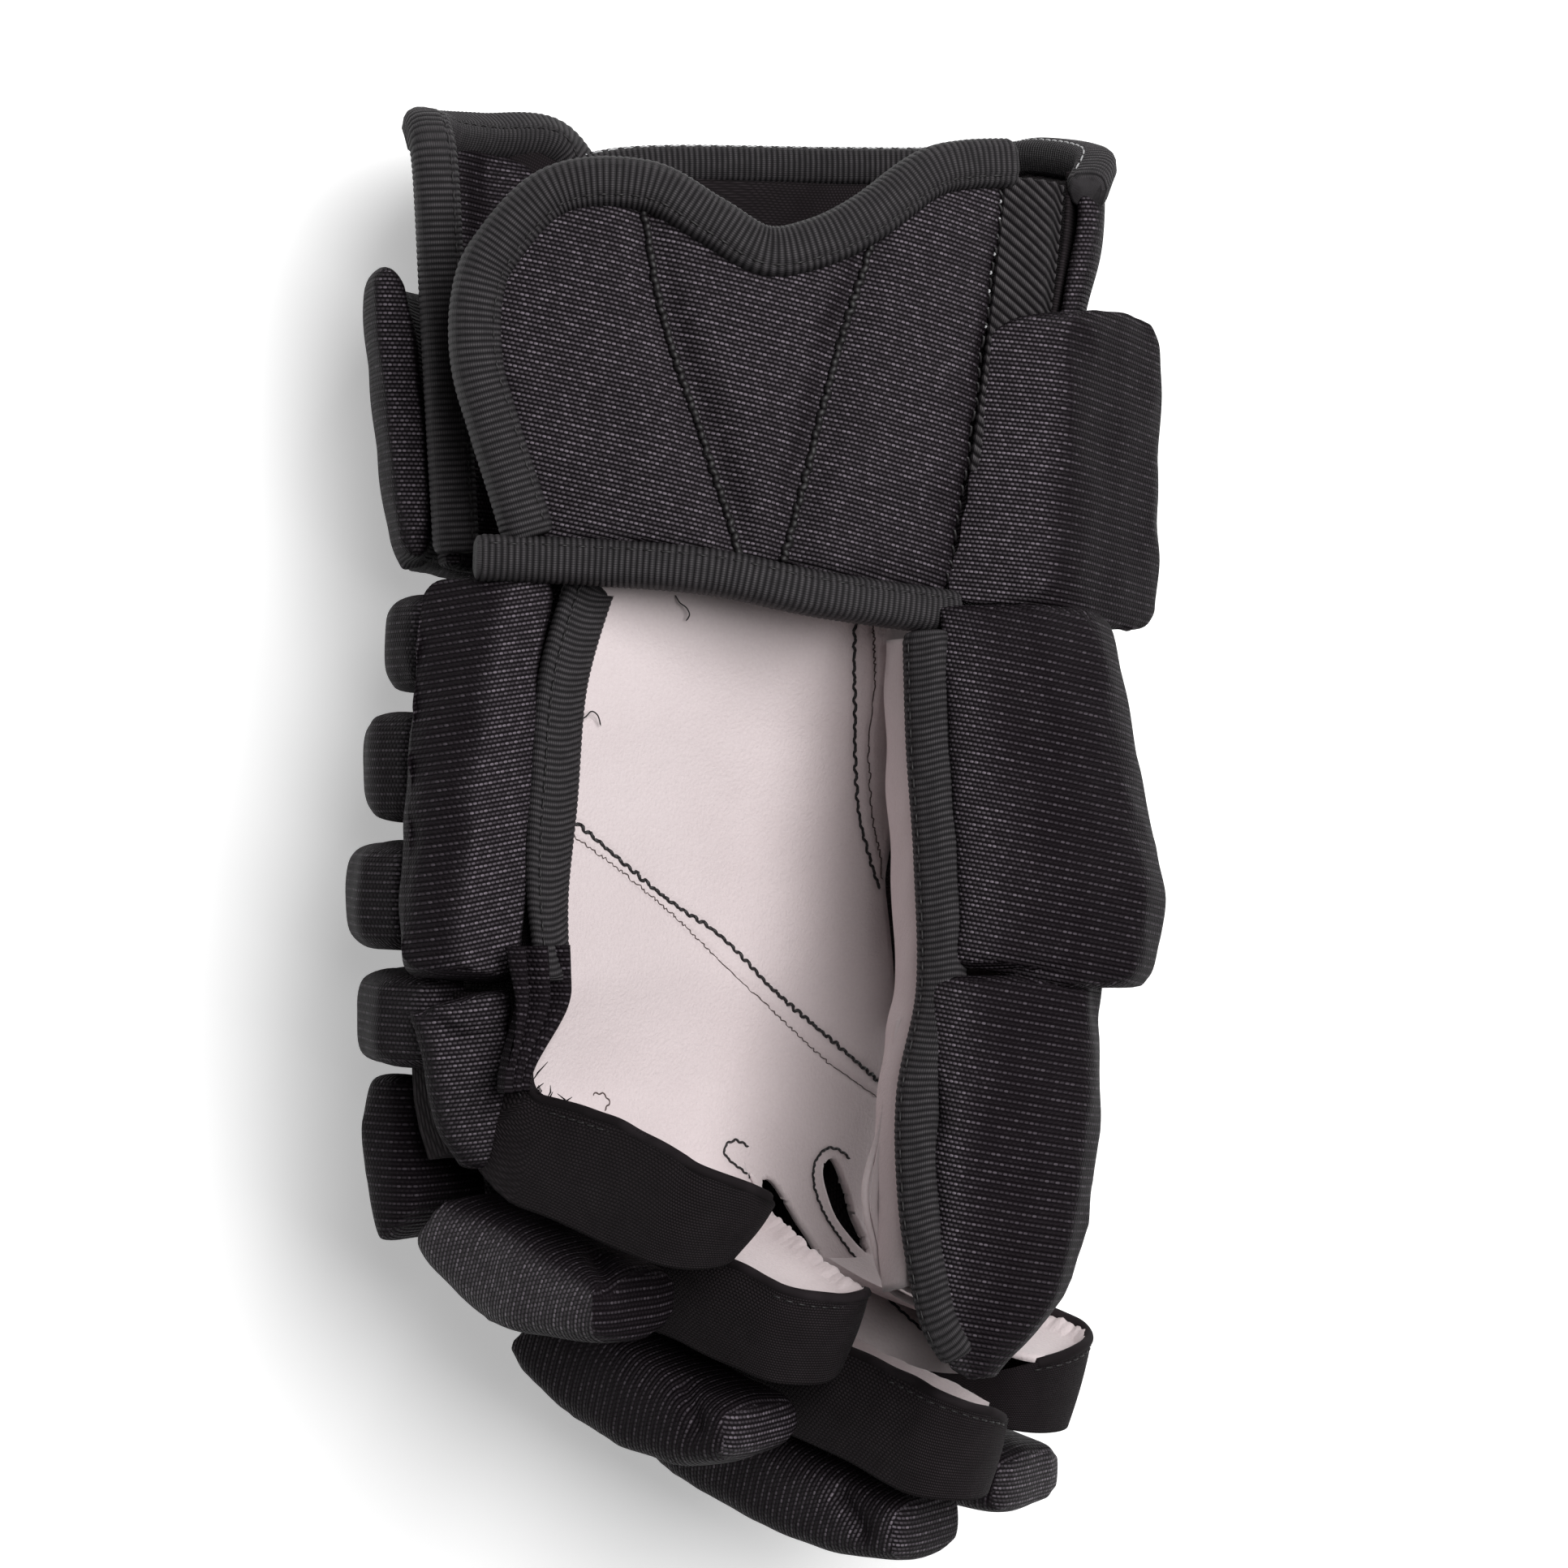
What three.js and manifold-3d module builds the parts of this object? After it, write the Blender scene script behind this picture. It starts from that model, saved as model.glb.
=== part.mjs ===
// Ice hockey glove for the left hand, lying on its back with the palm up and the fingers curled.
// Millimetres. +Z is up, +Y runs to the cuff, +X to the thumb side.
import * as THREE from 'three';
import { mergeVertices } from 'three/addons/utils/BufferGeometryUtils.js';
import Module from 'manifold-3d';

const wasm = await Module();
wasm.setup();

// Clearance between neighbouring pieces.
const GAP = 0.35;
// Material thicknesses.
const LEATHER = 1.8;
const GUSSET_CLOTH = 1.6;
const SIDE_CLOTH = 2.2;
const CUFF_WALL = 5;
const SHELL_WALL = 2.6;
const PANEL_PAD = 9;
const THUMB_PAD = 12;
const THUMB_TIP_PAD = 8;
// Binding tape that is folded round an edge.
const TAPE_WIDTH = 10;
const TAPE_OVER_CUFF = 8.5;
const TAPE_OVER_PANEL = 11.5;
// Cuff and cuff roll heights along the arm.
const CUFF_LOW = 35;
const BACK_TOP = 131;
const CUFF_ROLL_HEIGHT = 60;
// Middle height of the straight roll that the cuff lies on.
const CUFF_ROLL_Z = 6.2;
// Padding of the back rolls across the hand.
const ROLL_PAD = 17;

const RAD = Math.PI / 180;

// A short table with named columns becomes a list of objects.
const table = (names, rows) => rows.map(
  (row) => Object.fromEntries(names.split(' ').map((name, k) => [name, row[k]])));

// A smooth curve through the rows of a table, read at t from 0 to 1, one value for each column.
function through(rows) {
  const keys = Object.keys(rows[0]).filter((key) => typeof rows[0][key] === 'number');
  const at = (k) => rows[Math.min(rows.length - 1, Math.max(0, k))];
  return (t) => {
    const f = Math.min(1, Math.max(0, t)) * (rows.length - 1);
    const k = Math.min(rows.length - 2, Math.floor(f));
    const s = f - k;
    const out = {};
    for (const key of keys) {
      const [a, b, c, d] = [at(k - 1)[key], at(k)[key], at(k + 1)[key], at(k + 2)[key]];
      out[key] = b + 0.5 * s * (c - a + s * (2 * a - 5 * b + 4 * c - d + s * (3 * (b - c) + d - a)));
    }
    return out;
  };
}

// The row of a table at a height y, straight between its rows.
function atHeight(rows, y) {
  const order = rows[0].y > rows[rows.length - 1].y ? [...rows].reverse() : rows;
  const k = Math.max(0, Math.min(order.length - 2, order.findIndex((row) => row.y > y) - 1));
  const [a, b] = y >= order[order.length - 1].y ? order.slice(-2) : [order[k], order[k + 1]];
  const s = Math.min(1, Math.max(0, (y - a.y) / (b.y - a.y)));
  return Object.fromEntries(Object.keys(a).map((key) => [key, a[key] + s * (b[key] - a[key])]));
}

const lerp = (a, b, s) => a + s * (b - a);

// Parameters from 0 to 1, closer together at both ends, where a pad rounds off.
const eased = (n) => Array.from({ length: n + 1 }, (_, k) => 0.5 - 0.5 * Math.cos(Math.PI * k / n));
const even = (n) => Array.from({ length: n + 1 }, (_, k) => k / n);

// A padded edge: full thickness inside, rounding down to a rim.
const pillow = (x, rim = 0.35, square = 6) => Math.max(
  rim, Math.sqrt(Math.max(0, 1 - Math.abs(2 * x - 1) ** square)));

function meshSolid(points, triangles) {
  const vertProperties = new Float32Array(points.flatMap((p) => [p.x, p.y, p.z]));
  const build = (order) => new wasm.Manifold(new wasm.Mesh({
    numProp: 3, vertProperties, triVerts: new Uint32Array(order.flat()) }));
  const solid = build(triangles);
  return solid.volume() > 0 ? solid : build(triangles.map(([a, b, c]) => [a, c, b]));
}

// A curved plate: a surface point(s, v) with a thickness, closed by a rim.
function plate({ across = even(8), along = even(6), point, thick }) {
  return (grow = 0) => {
    const [n, m] = [across.length, along.length];
    const P = across.map((s) => along.map((v) => point(s, v)));
    const side = (p, q) => p.clone().sub(q).normalize();
    const N = P.map((row, i) => row.map((p, j) => {
      const ds = P[Math.min(n - 1, i + 1)][j].clone().sub(P[Math.max(0, i - 1)][j]);
      const dv = P[i][Math.min(m - 1, j + 1)].clone().sub(P[i][Math.max(0, j - 1)]);
      return ds.cross(dv).normalize();
    }));
    if (grow) {
      for (let j = 0; j < m; j++) {
        P[0][j].addScaledVector(side(P[0][j], P[1][j]), grow);
        P[n - 1][j].addScaledVector(side(P[n - 1][j], P[n - 2][j]), grow);
      }
      for (let i = 0; i < n; i++) {
        P[i][0].addScaledVector(side(P[i][0], P[i][1]), grow);
        P[i][m - 1].addScaledVector(side(P[i][m - 1], P[i][m - 2]), grow);
      }
    }
    const points = [];
    for (const face of [0.5, -0.5]) {
      P.forEach((row, i) => row.forEach((p, j) => {
        const t = (typeof thick === 'function' ? thick(across[i], along[j]) : thick) + 2 * grow;
        points.push(p.clone().addScaledVector(N[i][j], face * t));
      }));
    }
    const id = (face, i, j) => face * n * m + i * m + j;
    const triangles = [];
    const quad = (a, b, c, d) => triangles.push([a, b, c], [a, c, d]);
    for (let i = 0; i < n - 1; i++) {
      for (let j = 0; j < m - 1; j++) {
        quad(id(0, i, j), id(0, i + 1, j), id(0, i + 1, j + 1), id(0, i, j + 1));
        quad(id(1, i, j), id(1, i, j + 1), id(1, i + 1, j + 1), id(1, i + 1, j));
      }
      quad(id(0, i, 0), id(1, i, 0), id(1, i + 1, 0), id(0, i + 1, 0));
      quad(id(0, i, m - 1), id(0, i + 1, m - 1), id(1, i + 1, m - 1), id(1, i, m - 1));
    }
    for (let j = 0; j < m - 1; j++) {
      quad(id(0, 0, j), id(0, 0, j + 1), id(1, 0, j + 1), id(1, 0, j));
      quad(id(0, n - 1, j), id(1, n - 1, j), id(1, n - 1, j + 1), id(0, n - 1, j + 1));
    }
    return meshSolid(points, triangles);
  };
}

// A padded roll along a spine of points: width lies across, thick lies along facing(t).
function roll({ spine, count = 8, sides = 10, square = 3.2, round = 0.5, facing }) {
  return (grow = 0) => {
    const read = through(spine);
    const place = (t) => new THREE.Vector3().copy(read(t));
    const steps = [...even(count)];
    const first = steps[1] * 0.25;
    steps.splice(1, 0, first);
    steps.splice(steps.length - 1, 0, 1 - first);
    const points = [];
    steps.forEach((t, k) => {
      const r = read(t);
      const tangent = place(t + 0.01).sub(place(t - 0.01)).normalize();
      const up = facing(t).clone();
      up.addScaledVector(tangent, -up.dot(tangent)).normalize();
      const acrossDir = tangent.clone().cross(up);
      const end = k === 0 || k === steps.length - 1;
      const scale = end ? round : 1;
      const centre = place(t).addScaledVector(tangent, end ? (k ? grow : -grow) : 0);
      for (let q = 0; q < sides; q++) {
        const angle = 2 * Math.PI * (q + 0.5) / sides;
        const [c, s] = [Math.cos(angle), Math.sin(angle)];
        const bend = (v) => Math.sign(v) * Math.abs(v) ** (2 / square);
        points.push(centre.clone()
          .addScaledVector(acrossDir, (scale * r.width / 2 + grow) * bend(c))
          .addScaledVector(up, (scale * r.thick / 2 + grow) * bend(s)));
      }
    });
    const rings = steps.length;
    const triangles = [];
    for (let k = 0; k < rings - 1; k++) {
      for (let q = 0; q < sides; q++) {
        const [a, b] = [k * sides + q, k * sides + (q + 1) % sides];
        triangles.push([a, b, b + sides], [a, b + sides, a + sides]);
      }
    }
    for (let q = 1; q < sides - 1; q++) {
      const last = (rings - 1) * sides;
      triangles.push([0, q + 1, q], [last, last + q, last + q + 1]);
    }
    return meshSolid(points, triangles);
  };
}

// Every piece by name. A later piece is cut back from the earlier ones that it would run into.
const pieces = [];
const add = (name, finish, make) => pieces.push({ name, finish, make });

// The hand: its sections stand at right angles to the arm, each turned about the arm.
// cx and cz are the middle of the hand's hollow, turn raises the little finger's side.
const HAND = table('y cx cz turn', [
  [60, -13, 55, 0],
  [36, -15, 54, 5],
  [10, -19, 53, 17],
  [-20, -22, 54, 23],
  [-50, -21, 57, 31],
  [-75, -20, 59, 37],
  [-100, -19.4, 59.7, 38],
  [-160, -19.4, 59.7, 38],
]);

// u runs across the hand to the thumb, w out of the palm.
function inHand(y, u, w) {
  const h = atHeight(HAND, y);
  const [c, s] = [Math.cos(h.turn * RAD), Math.sin(h.turn * RAD)];
  return new THREE.Vector3(h.cx + u * c + w * s, y, h.cz - u * s + w * c);
}

// The fingers: one row each, from the little finger to the index.
// lat is the finger's middle across the hand; creaseY and creaseW the fold at its palm side.
// reach is the length past the fold and padEnd that of the tip pad; deep is the thickness at the
// middle knuckle and tipDeep at the tip; slant sets the back of the tip short of its palm side.
const FINGERS = table('name lat creaseY creaseW reach padEnd deep tipDeep slant', [
  ['little', -45, -56, 8, 56, 35, 44, 38, 12],
  ['ring', -17, -80, 9, 50, 42, 45, 34, 2],
  ['middle', 11, -99, 9, 67, 56, 45, 37, 0],
  ['index', 39, -90, 9, 65, 54, 44, 37, 0],
]);
const FINGER_PITCH = 28;
const FINGER_LEAN = 17.6;
const SLEEVE_BACK = 20;
const SLEEVE_HALF = 12.4;
const SLEEVE_DEEP = 21;

// a runs along the finger from its fold, towards the tip where it is above 0 and back to the palm
// where it is below; q runs across it, b from its palm side to its back.
const FOLD = 4;
function inFinger(finger, a, q, b) {
  const bend = (90 - FINGER_LEAN) * RAD;
  const radius = 2 * FOLD / bend;
  const angle = bend * Math.min(1, Math.max(0, (a + FOLD) / (2 * FOLD)));
  const straight = a > FOLD ? a - FOLD : Math.min(0, a + FOLD);
  const [c, s] = [Math.cos(angle), Math.sin(angle)];
  const { cx, cz, turn } = HAND[HAND.length - 1];
  const [ct, st] = [Math.cos(turn * RAD), Math.sin(turn * RAD)];
  const y = finger.creaseY - radius * s - straight * c - b * s;
  const w = finger.creaseW - 2 + radius * (1 - c) + straight * s - b * c;
  const u = finger.lat + q;
  return new THREE.Vector3(cx + u * ct + w * st, y, cz - u * st + w * ct);
}
const palmWay = (() => {
  const { turn } = HAND[HAND.length - 1];
  return new THREE.Vector3(Math.sin(turn * RAD), 0, Math.cos(turn * RAD));
})();
const backOfTip = new THREE.Vector3(0, -Math.cos(FINGER_LEAN * RAD), 0)
  .addScaledVector(palmWay, -Math.sin(FINGER_LEAN * RAD));

// Cuff sections: a rounded box round the wrist; angle 0 faces the thumb, 90 the palm, 270 the back.
const CUFF = { cx: -5, cz: 57, rx: 66, rz: 38, square: 3.4 };
function onCuff(angle, y, out = 0) {
  const bend = (v) => Math.sign(v) * Math.abs(v) ** (2 / CUFF.square);
  const [c, s] = [Math.cos(angle * RAD), Math.sin(angle * RAD)];
  return new THREE.Vector3(CUFF.cx + (CUFF.rx + out) * bend(c), y, CUFF.cz + (CUFF.rz + out) * bend(s));
}

// Palm-side panel of the cuff, three cushions between stitched channels.
const PANEL = table('s low top z', [
  [0, 46, 105, 88],
  [0.12, 45, 118, 91],
  [0.28, 44, 114, 94],
  [0.5, 42, 104, 96],
  [0.7, 39, 109, 96],
  [0.9, 37, 121, 93],
  [1, 36, 124, 90],
]);
const PANEL_SIDES = table('v left right', [
  [0, -57, 27],
  [0.35, -63, 32],
  [0.7, -68, 36],
  [1, -66, 39],
]);
function onPanel(s, v, lift = 0) {
  const edge = through(PANEL)(s);
  const { left, right } = through(PANEL_SIDES)(v);
  return new THREE.Vector3(lerp(left, right, s), lerp(edge.low, edge.top, v), edge.z + lift);
}
// Distance to the nearer of the two stitched channels, which spread towards the top.
const channel = (s, v) => Math.min(
  Math.abs(s - lerp(0.47, 0.27, v)), Math.abs(s - lerp(0.56, 0.73, v)));
add('cuff_palm_panel', 'knit', plate({
  across: [0, 0.04, 0.14, 0.25, 0.33, 0.41, 0.5, 0.59, 0.67, 0.76, 0.9, 0.97, 1],
  along: [0, 0.05, 0.25, 0.5, 0.75, 0.95, 1],
  point: (s, v) => onPanel(s, v),
  thick: (s, v) => PANEL_PAD * pillow(s, 0.5, 12) * pillow(v, 0.5, 12) * (channel(s, v) < 0.03 ? 0.75 : 1),
}));

// Hollow back wall of the cuff, from the little-finger side round to the thumb, its top dipping
// towards both ends.
const BACK_WALL = { from: 243, to: 392 };
const backTop = (s) => BACK_TOP - (s < 0.5 ? 3 : 8) * Math.abs(2 * s - 1) ** 4;
add('cuff_back_wall', 'knit', plate({
  across: even(16), along: even(3),
  point: (s, v) => onCuff(lerp(BACK_WALL.from, BACK_WALL.to, s), lerp(CUFF_LOW, backTop(s), v)),
  thick: CUFF_WALL,
}));
// Flap on the little-finger side, its top cut down where it meets the back wall.
const FLAP = table('x z top', [
  [-71, 64, 128],
  [-70.5, 52, 131],
  [-65, 39, 131],
  [-55, 29, 130],
  [-44, 22, 123],
]);
const onFlap = (s, v) => {
  const { x, z, top } = through(FLAP)(s);
  return new THREE.Vector3(x, lerp(CUFF_LOW + 8, top, v), z);
};
add('cuff_pinky_flap', 'knit', plate({ across: even(8), along: even(4), point: onFlap, thick: CUFF_WALL }));

// Gusset between the panel and the thumb side of the cuff.
add('cuff_side_gusset', 'cloth', plate({
  across: even(3), along: even(4),
  point: (s, v) => onPanel(1, lerp(0.3, 0.97, v)).add(new THREE.Vector3(
    lerp(1.5, 14, s), 0, lerp(-1, -7, s))),
  thick: SIDE_CLOTH,
}));

// Cuff rolls: padded bands wrapped round the cuff's outside.
const upArm = new THREE.Vector3(0, 1, 0);
const band = (name, rows, count) => add(name, 'knit', roll({
  spine: table('x y z width thick', rows), count, sides: 12, square: 4.5, round: 0.8,
  facing: () => upArm,
}));
band('cuff_roll_thumb', [
  [42, 66, 87, 19, 60],
  [56, 64, 88, 21, 66],
  [67, 64, 78, 18, 67],
  [72, 64, 60, 15, 66],
  [72, 65, 42, 15, 64],
  [68, 67, 22, 15, 62],
  [53, 69, 9, 15, 60],
], 10);
band('cuff_roll_back', [
  [49, 70, CUFF_ROLL_Z, 16, CUFF_ROLL_HEIGHT],
  [0, 71, CUFF_ROLL_Z, 16, CUFF_ROLL_HEIGHT],
  [-50, 72, CUFF_ROLL_Z, 16, CUFF_ROLL_HEIGHT],
], 4);
band('cuff_roll_pinky', [
  [-57, 73, 13, 12, 60],
  [-68, 74, 22, 12, 60],
  [-76, 74, 36, 11, 60],
  [-78.5, 75, 50, 10, 60],
  [-78.5, 75, 61, 9, 59],
], 7);

// Back-of-hand shell that carries the rolls, a trough from one side of the palm to the other.
const SHELL_WRAP = { from: 158, to: 382 };
const SHELL = table('y half deep', [
  [33, 52, 30],
  [10, 48, 25],
  [-20, 47, 22],
  [-52, 54, 20],
]);
add('hand_shell', 'cloth', plate({
  across: even(14), along: even(5),
  point: (s, v) => {
    const y = lerp(SHELL[0].y, SHELL[SHELL.length - 1].y, v);
    const row = atHeight(SHELL, y);
    const angle = lerp(SHELL_WRAP.from, SHELL_WRAP.to, s) * RAD;
    const bend = (x) => Math.sign(x) * Math.abs(x) ** (2 / 3);
    return inHand(y, row.half * bend(Math.cos(angle)), 4 + row.deep * bend(Math.sin(angle)));
  },
  thick: SHELL_WALL,
}));

// Palm leather, cupped across, with raised little-finger edge.
const PALM = table('y uLeft uRight wLeft wMid wRight', [
  [37, -30, 42, 25, 22, 22],
  [20, -37, 42, 24, 19, 17],
  [0, -41, 43, 23, 16, 14],
  [-20, -44, 44, 23, 14, 13],
  [-38, -47, 47, 21, 13, 12],
  [-60, -52, 52, 10, 10, 10],
  [-100, -56, 52, 8, 8, 8],
]);
// Where the palm leather ends at the roots of the fingers, across the hand.
const PALM_END = table('s low', [
  [0, -56],
  [0.2, -58],
  [0.45, -82],
  [0.72, -99],
  [1, -90],
]);
add('palm_leather', 'leather', plate({
  across: even(8), along: even(9),
  point: (s, v) => {
    const y = lerp(PALM[0].y, through(PALM_END)(s).low, v);
    const row = atHeight(PALM, y);
    const w = lerp(lerp(row.wLeft, row.wMid, s), lerp(row.wMid, row.wRight, s), s);
    return inHand(y, lerp(row.uLeft, row.uRight, s), w);
  },
  thick: LEATHER,
}));

// Rolls across the back of the hand.
const BACK_ROLLS = table('name high low out', [
  ['back_roll_1', 39.5, 17.5, 0],
  ['back_roll_2', 15.5, -8.5, 3],
  ['back_roll_3', -10.5, -34, 4],
  ['back_roll_4', -36, -56.5, 4],
]);
const BACK_PATH = table('u w', [
  [-54, 2],
  [-56, -14],
  [-47, -29],
  [-26, -35],
  [6, -36],
  [36, -33],
  [53, -22],
  [57, -8],
]);
for (const row of BACK_ROLLS) {
  const middle = (row.high + row.low) / 2;
  add(row.name, 'knit', roll({
    spine: BACK_PATH.map(({ u, w }) => {
      const at = inHand(middle, u - row.out * (u < -50), w);
      return { x: at.x, y: at.y, z: at.z, width: ROLL_PAD, thick: row.high - row.low };
    }),
    count: 9, sides: 10, square: 3.6, round: 0.75, facing: () => upArm,
  }));
}

// Padded roll along the palm's little-finger side and the small pad under it.
add('pinky_side_roll', 'knit', roll({
  spine: table('x y z width thick', [
    [-66, 40, 80, 24, 22],
    [-67.5, 20, 83, 26, 25],
    [-69.5, 0, 87, 26, 26],
    [-71.5, -20, 91, 26, 26],
    [-73, -38.5, 94, 24, 24],
  ]),
  count: 5, sides: 12, square: 3.4, round: 0.75, facing: () => new THREE.Vector3(-0.2, 0, 1),
}));
add('pinky_base_pad', 'knit', roll({
  spine: table('x y z width thick', [
    [-72, -40.5, 90, 24, 20],
    [-70, -50, 91, 21, 20],
    [-67, -60, 90, 15, 17],
    [-65, -68, 88, 9, 12],
  ]),
  count: 5, sides: 10, square: 3.2, round: 0.75, facing: () => new THREE.Vector3(-0.2, 0, 1),
}));

// Fingers: a knuckle pad, a tip pad, a cloth gusset round the sides and tip, and a leather strip.
// The knuckle pads start at one line across the hand and end where the finger bends.
const KNUCKLE_LINE = -58;
const KNUCKLE_SHARE = 0.62;
// Part of the gusset's length that turns round the fingertip, to each side of its middle.
const TIP_TURN = 0.16;
const TIP_RADIUS = 9;
for (const finger of FINGERS) {
  const start = KNUCKLE_LINE;
  const bendY = finger.creaseY - KNUCKLE_SHARE * finger.deep;
  const at = (y, w) => {
    const p = inHand(y, finger.lat, w);
    return { x: p.x, y: p.y, z: p.z };
  };
  add(finger.name + '_knuckle_pad', 'knit', roll({
    spine: [
      { ...at(start, -28), width: 27, thick: 17 },
      { ...at(lerp(start, bendY, 0.4), -31), width: 27.2, thick: 19 },
      { ...at(lerp(start, bendY, 0.8), -31), width: 27.2, thick: 19 },
      { ...at(bendY, -28), width: 27, thick: 16 },
    ],
    count: 5, sides: 10, square: 3.2, round: 0.7, facing: () => palmWay,
  }));
  // Rows along the bent part: a along it, b its middle depth, thick its depth.
  const inner = SLEEVE_DEEP + 1.2;
  add(finger.name + '_tip_pad', 'knit', roll({
    spine: [
      [0.5, 37, 16],
      [2, 36, 21],
      [5, 34, 24],
      [0.4 * finger.padEnd, (inner + finger.deep) / 2, finger.deep - inner],
      [0.75 * finger.padEnd, (inner + finger.deep - 3) / 2, finger.deep - inner - 4],
      [finger.padEnd, (inner + finger.tipDeep - 2) / 2, finger.tipDeep - inner],
    ].map(([a, b, thick]) => {
      const p = inFinger(finger, a, 0, b);
      return { x: p.x, y: p.y, z: p.z, width: FINGER_PITCH - 1, thick };
    }),
    count: 8, sides: 10, square: 3.2, round: 0.6, facing: () => backOfTip,
  }));
  add(finger.name + '_gusset', 'cloth', plate({
    across: [0, 0.08, 0.12, 0.16, 0.2, 0.34, 0.4, 0.45, 0.5, 0.55, 0.6, 0.66, 0.8, 0.84, 0.88, 0.92, 1],
    along: even(2),
    point: (s, v) => {
      const q = Math.max(-1, Math.min(1, (s - 0.5) / TIP_TURN));
      const angle = q * Math.PI / 2;
      const straight = Math.max(0, Math.abs(s - 0.5) - TIP_TURN) / (0.5 - TIP_TURN);
      const tip = finger.reach - TIP_RADIUS * (1 - Math.cos(angle)) - finger.slant * v;
      const a = lerp(tip, -SLEEVE_BACK, straight);
      const deep = a < 0 ? SLEEVE_DEEP + 8 : SLEEVE_DEEP - 3 * (1 - straight);
      return inFinger(finger, a, SLEEVE_HALF * Math.sin(angle), lerp(0, deep, v));
    },
    thick: GUSSET_CLOTH,
  }));
  add(finger.name + '_leather', 'leather', plate({
    across: even(3), along: [0, 0.25, 0.5, 0.75, 0.9, 1],
    point: (s, v) => {
      const half = (SLEEVE_HALF - 1.3) * Math.min(1, 0.45 + 2.2 * (1 - v));
      return inFinger(finger, lerp(2, finger.reach - 3.5, v), lerp(-half, half, s), 2.5);
    },
    thick: LEATHER,
  }));
}

// Thumb: padded C sections round a hollow, open to the palm, closed there by leather.
// rx and rz are the half sizes of the mid-wall.
const THUMB = table('y cx cz rx rz', [
  [31, 37, 82, 20, 20],
  [5, 38, 85, 21.5, 21],
  [-22, 40.5, 90, 24, 22],
  [-42, 38.5, 95, 23, 21],
  [-48, 32, 97, 19.5, 19.5],
  [-70, 28, 103, 19, 19],
  [-90, 25, 109, 17.5, 17],
  [-104, 22, 113, 14, 13.5],
  [-113, 20, 116, 7, 7],
]);
// Angles round the thumb: 0 faces away from the palm, 180 the palm.
const THUMB_PAD_WRAP = { from: -62, to: 132 };
const THUMB_LEATHER_WRAP = { from: 150, to: 292 };
const THUMB_TAPE_AT = 141;
const THUMB_FOLD = { base: -41, tip: -43.5 };
function onThumb(y, angle, out) {
  const row = atHeight(THUMB, y);
  const bend = (v) => Math.sign(v) * Math.abs(v) ** (2 / 2.8);
  const [c, s] = [Math.cos(angle * RAD), Math.sin(angle * RAD)];
  return new THREE.Vector3(row.cx + (row.rx + out) * bend(c), y, row.cz + (row.rz + out) * bend(s));
}
add('thumb_leather', 'leather', plate({
  across: even(7), along: [0, 0.2, 0.4, 0.6, 0.78, 0.9, 1],
  point: (s, v) => onThumb(
    lerp(29, -108, v), lerp(THUMB_LEATHER_WRAP.from, THUMB_LEATHER_WRAP.to, s), -1),
  thick: LEATHER,
}));
// Cloth that closes the side of the hand under the thumb.
add('thumb_side_gusset', 'cloth', plate({
  across: even(3), along: even(6),
  point: (s, v) => {
    const y = lerp(31, -50, v);
    const low = inHand(y, atHeight(SHELL, y).half - 4, 17);
    const high = onThumb(y, THUMB_LEATHER_WRAP.to + 4, -7);
    return low.lerp(high, s);
  },
  thick: GUSSET_CLOTH,
}));
add('thumb_base_pad', 'knit', plate({
  across: eased(9), along: eased(6),
  point: (s, v) => onThumb(
    lerp(32, THUMB_FOLD.base, v), lerp(THUMB_PAD_WRAP.from, THUMB_PAD_WRAP.to, s), 0),
  thick: (s, v) => THUMB_PAD * pillow(s, 0.5, 10) * pillow(v, 0.5, 10),
}));
add('thumb_tip_pad', 'knit', plate({
  across: eased(9), along: [0, 0.04, 0.2, 0.4, 0.6, 0.76, 0.9, 1],
  point: (s, v) => onThumb(
    lerp(THUMB_FOLD.tip, -113, v), lerp(THUMB_PAD_WRAP.from, THUMB_PAD_WRAP.to, s), 0),
  thick: (s, v) => lerp(THUMB_PAD - 0.5, THUMB_TIP_PAD, v) * pillow(s, 0.5, 10) * (v < 0.02 ? 0.6 : 1),
}));

// Binding tapes: folded over the edges of the panel, flap, back wall, palm and thumb.
const bind = (name, points, options = {}) => add(name, 'tape', roll({
  spine: points.map((p) => ({ x: p.x, y: p.y, z: p.z, width: TAPE_WIDTH, thick: 6, ...options.size })),
  count: options.count ?? 12, sides: 8, square: 3, round: 0.85,
  facing: () => options.facing ?? new THREE.Vector3(0, 0, 1),
}));
bind('panel_top_binding', [
  ...[0.03, 0.2, 0.4, 0.6, 0.8].map((v) => onPanel(0, v).add(new THREE.Vector3(-1, 0, 0))),
  onPanel(0.01, 0.96),
  ...[0.12, 0.28, 0.4, 0.5, 0.6, 0.7, 0.82, 0.9, 1].map((s) => onPanel(s, 1)),
], { count: 19, size: { thick: TAPE_OVER_PANEL } });
bind('panel_lower_binding', [
  ...[-0.08, 0.15, 0.4, 0.65, 1].map((s) => onPanel(Math.max(0, s), 0)
    .add(new THREE.Vector3(s < 0 ? -12 : 0, -2, 0))),
], { count: 7, size: { thick: TAPE_OVER_PANEL, width: 9 } });
bind('cuff_back_binding',
  even(8).map((s) => onCuff(lerp(BACK_WALL.from + 3, BACK_WALL.to - 2, s), backTop(s))),
  { count: 12, size: { thick: 12, width: TAPE_OVER_CUFF }, facing: upArm });
bind('pinky_flap_binding', [
  ...[0.04, 0.35, 0.65, 0.92].map((v) => onFlap(0, v)),
  ...[0.06, 0.25, 0.5, 0.75, 1].map((s) => onFlap(s, 1)),
], { count: 11, size: { thick: 9, width: 9 }, facing: new THREE.Vector3(0, 0.7, 0.7) });
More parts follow.
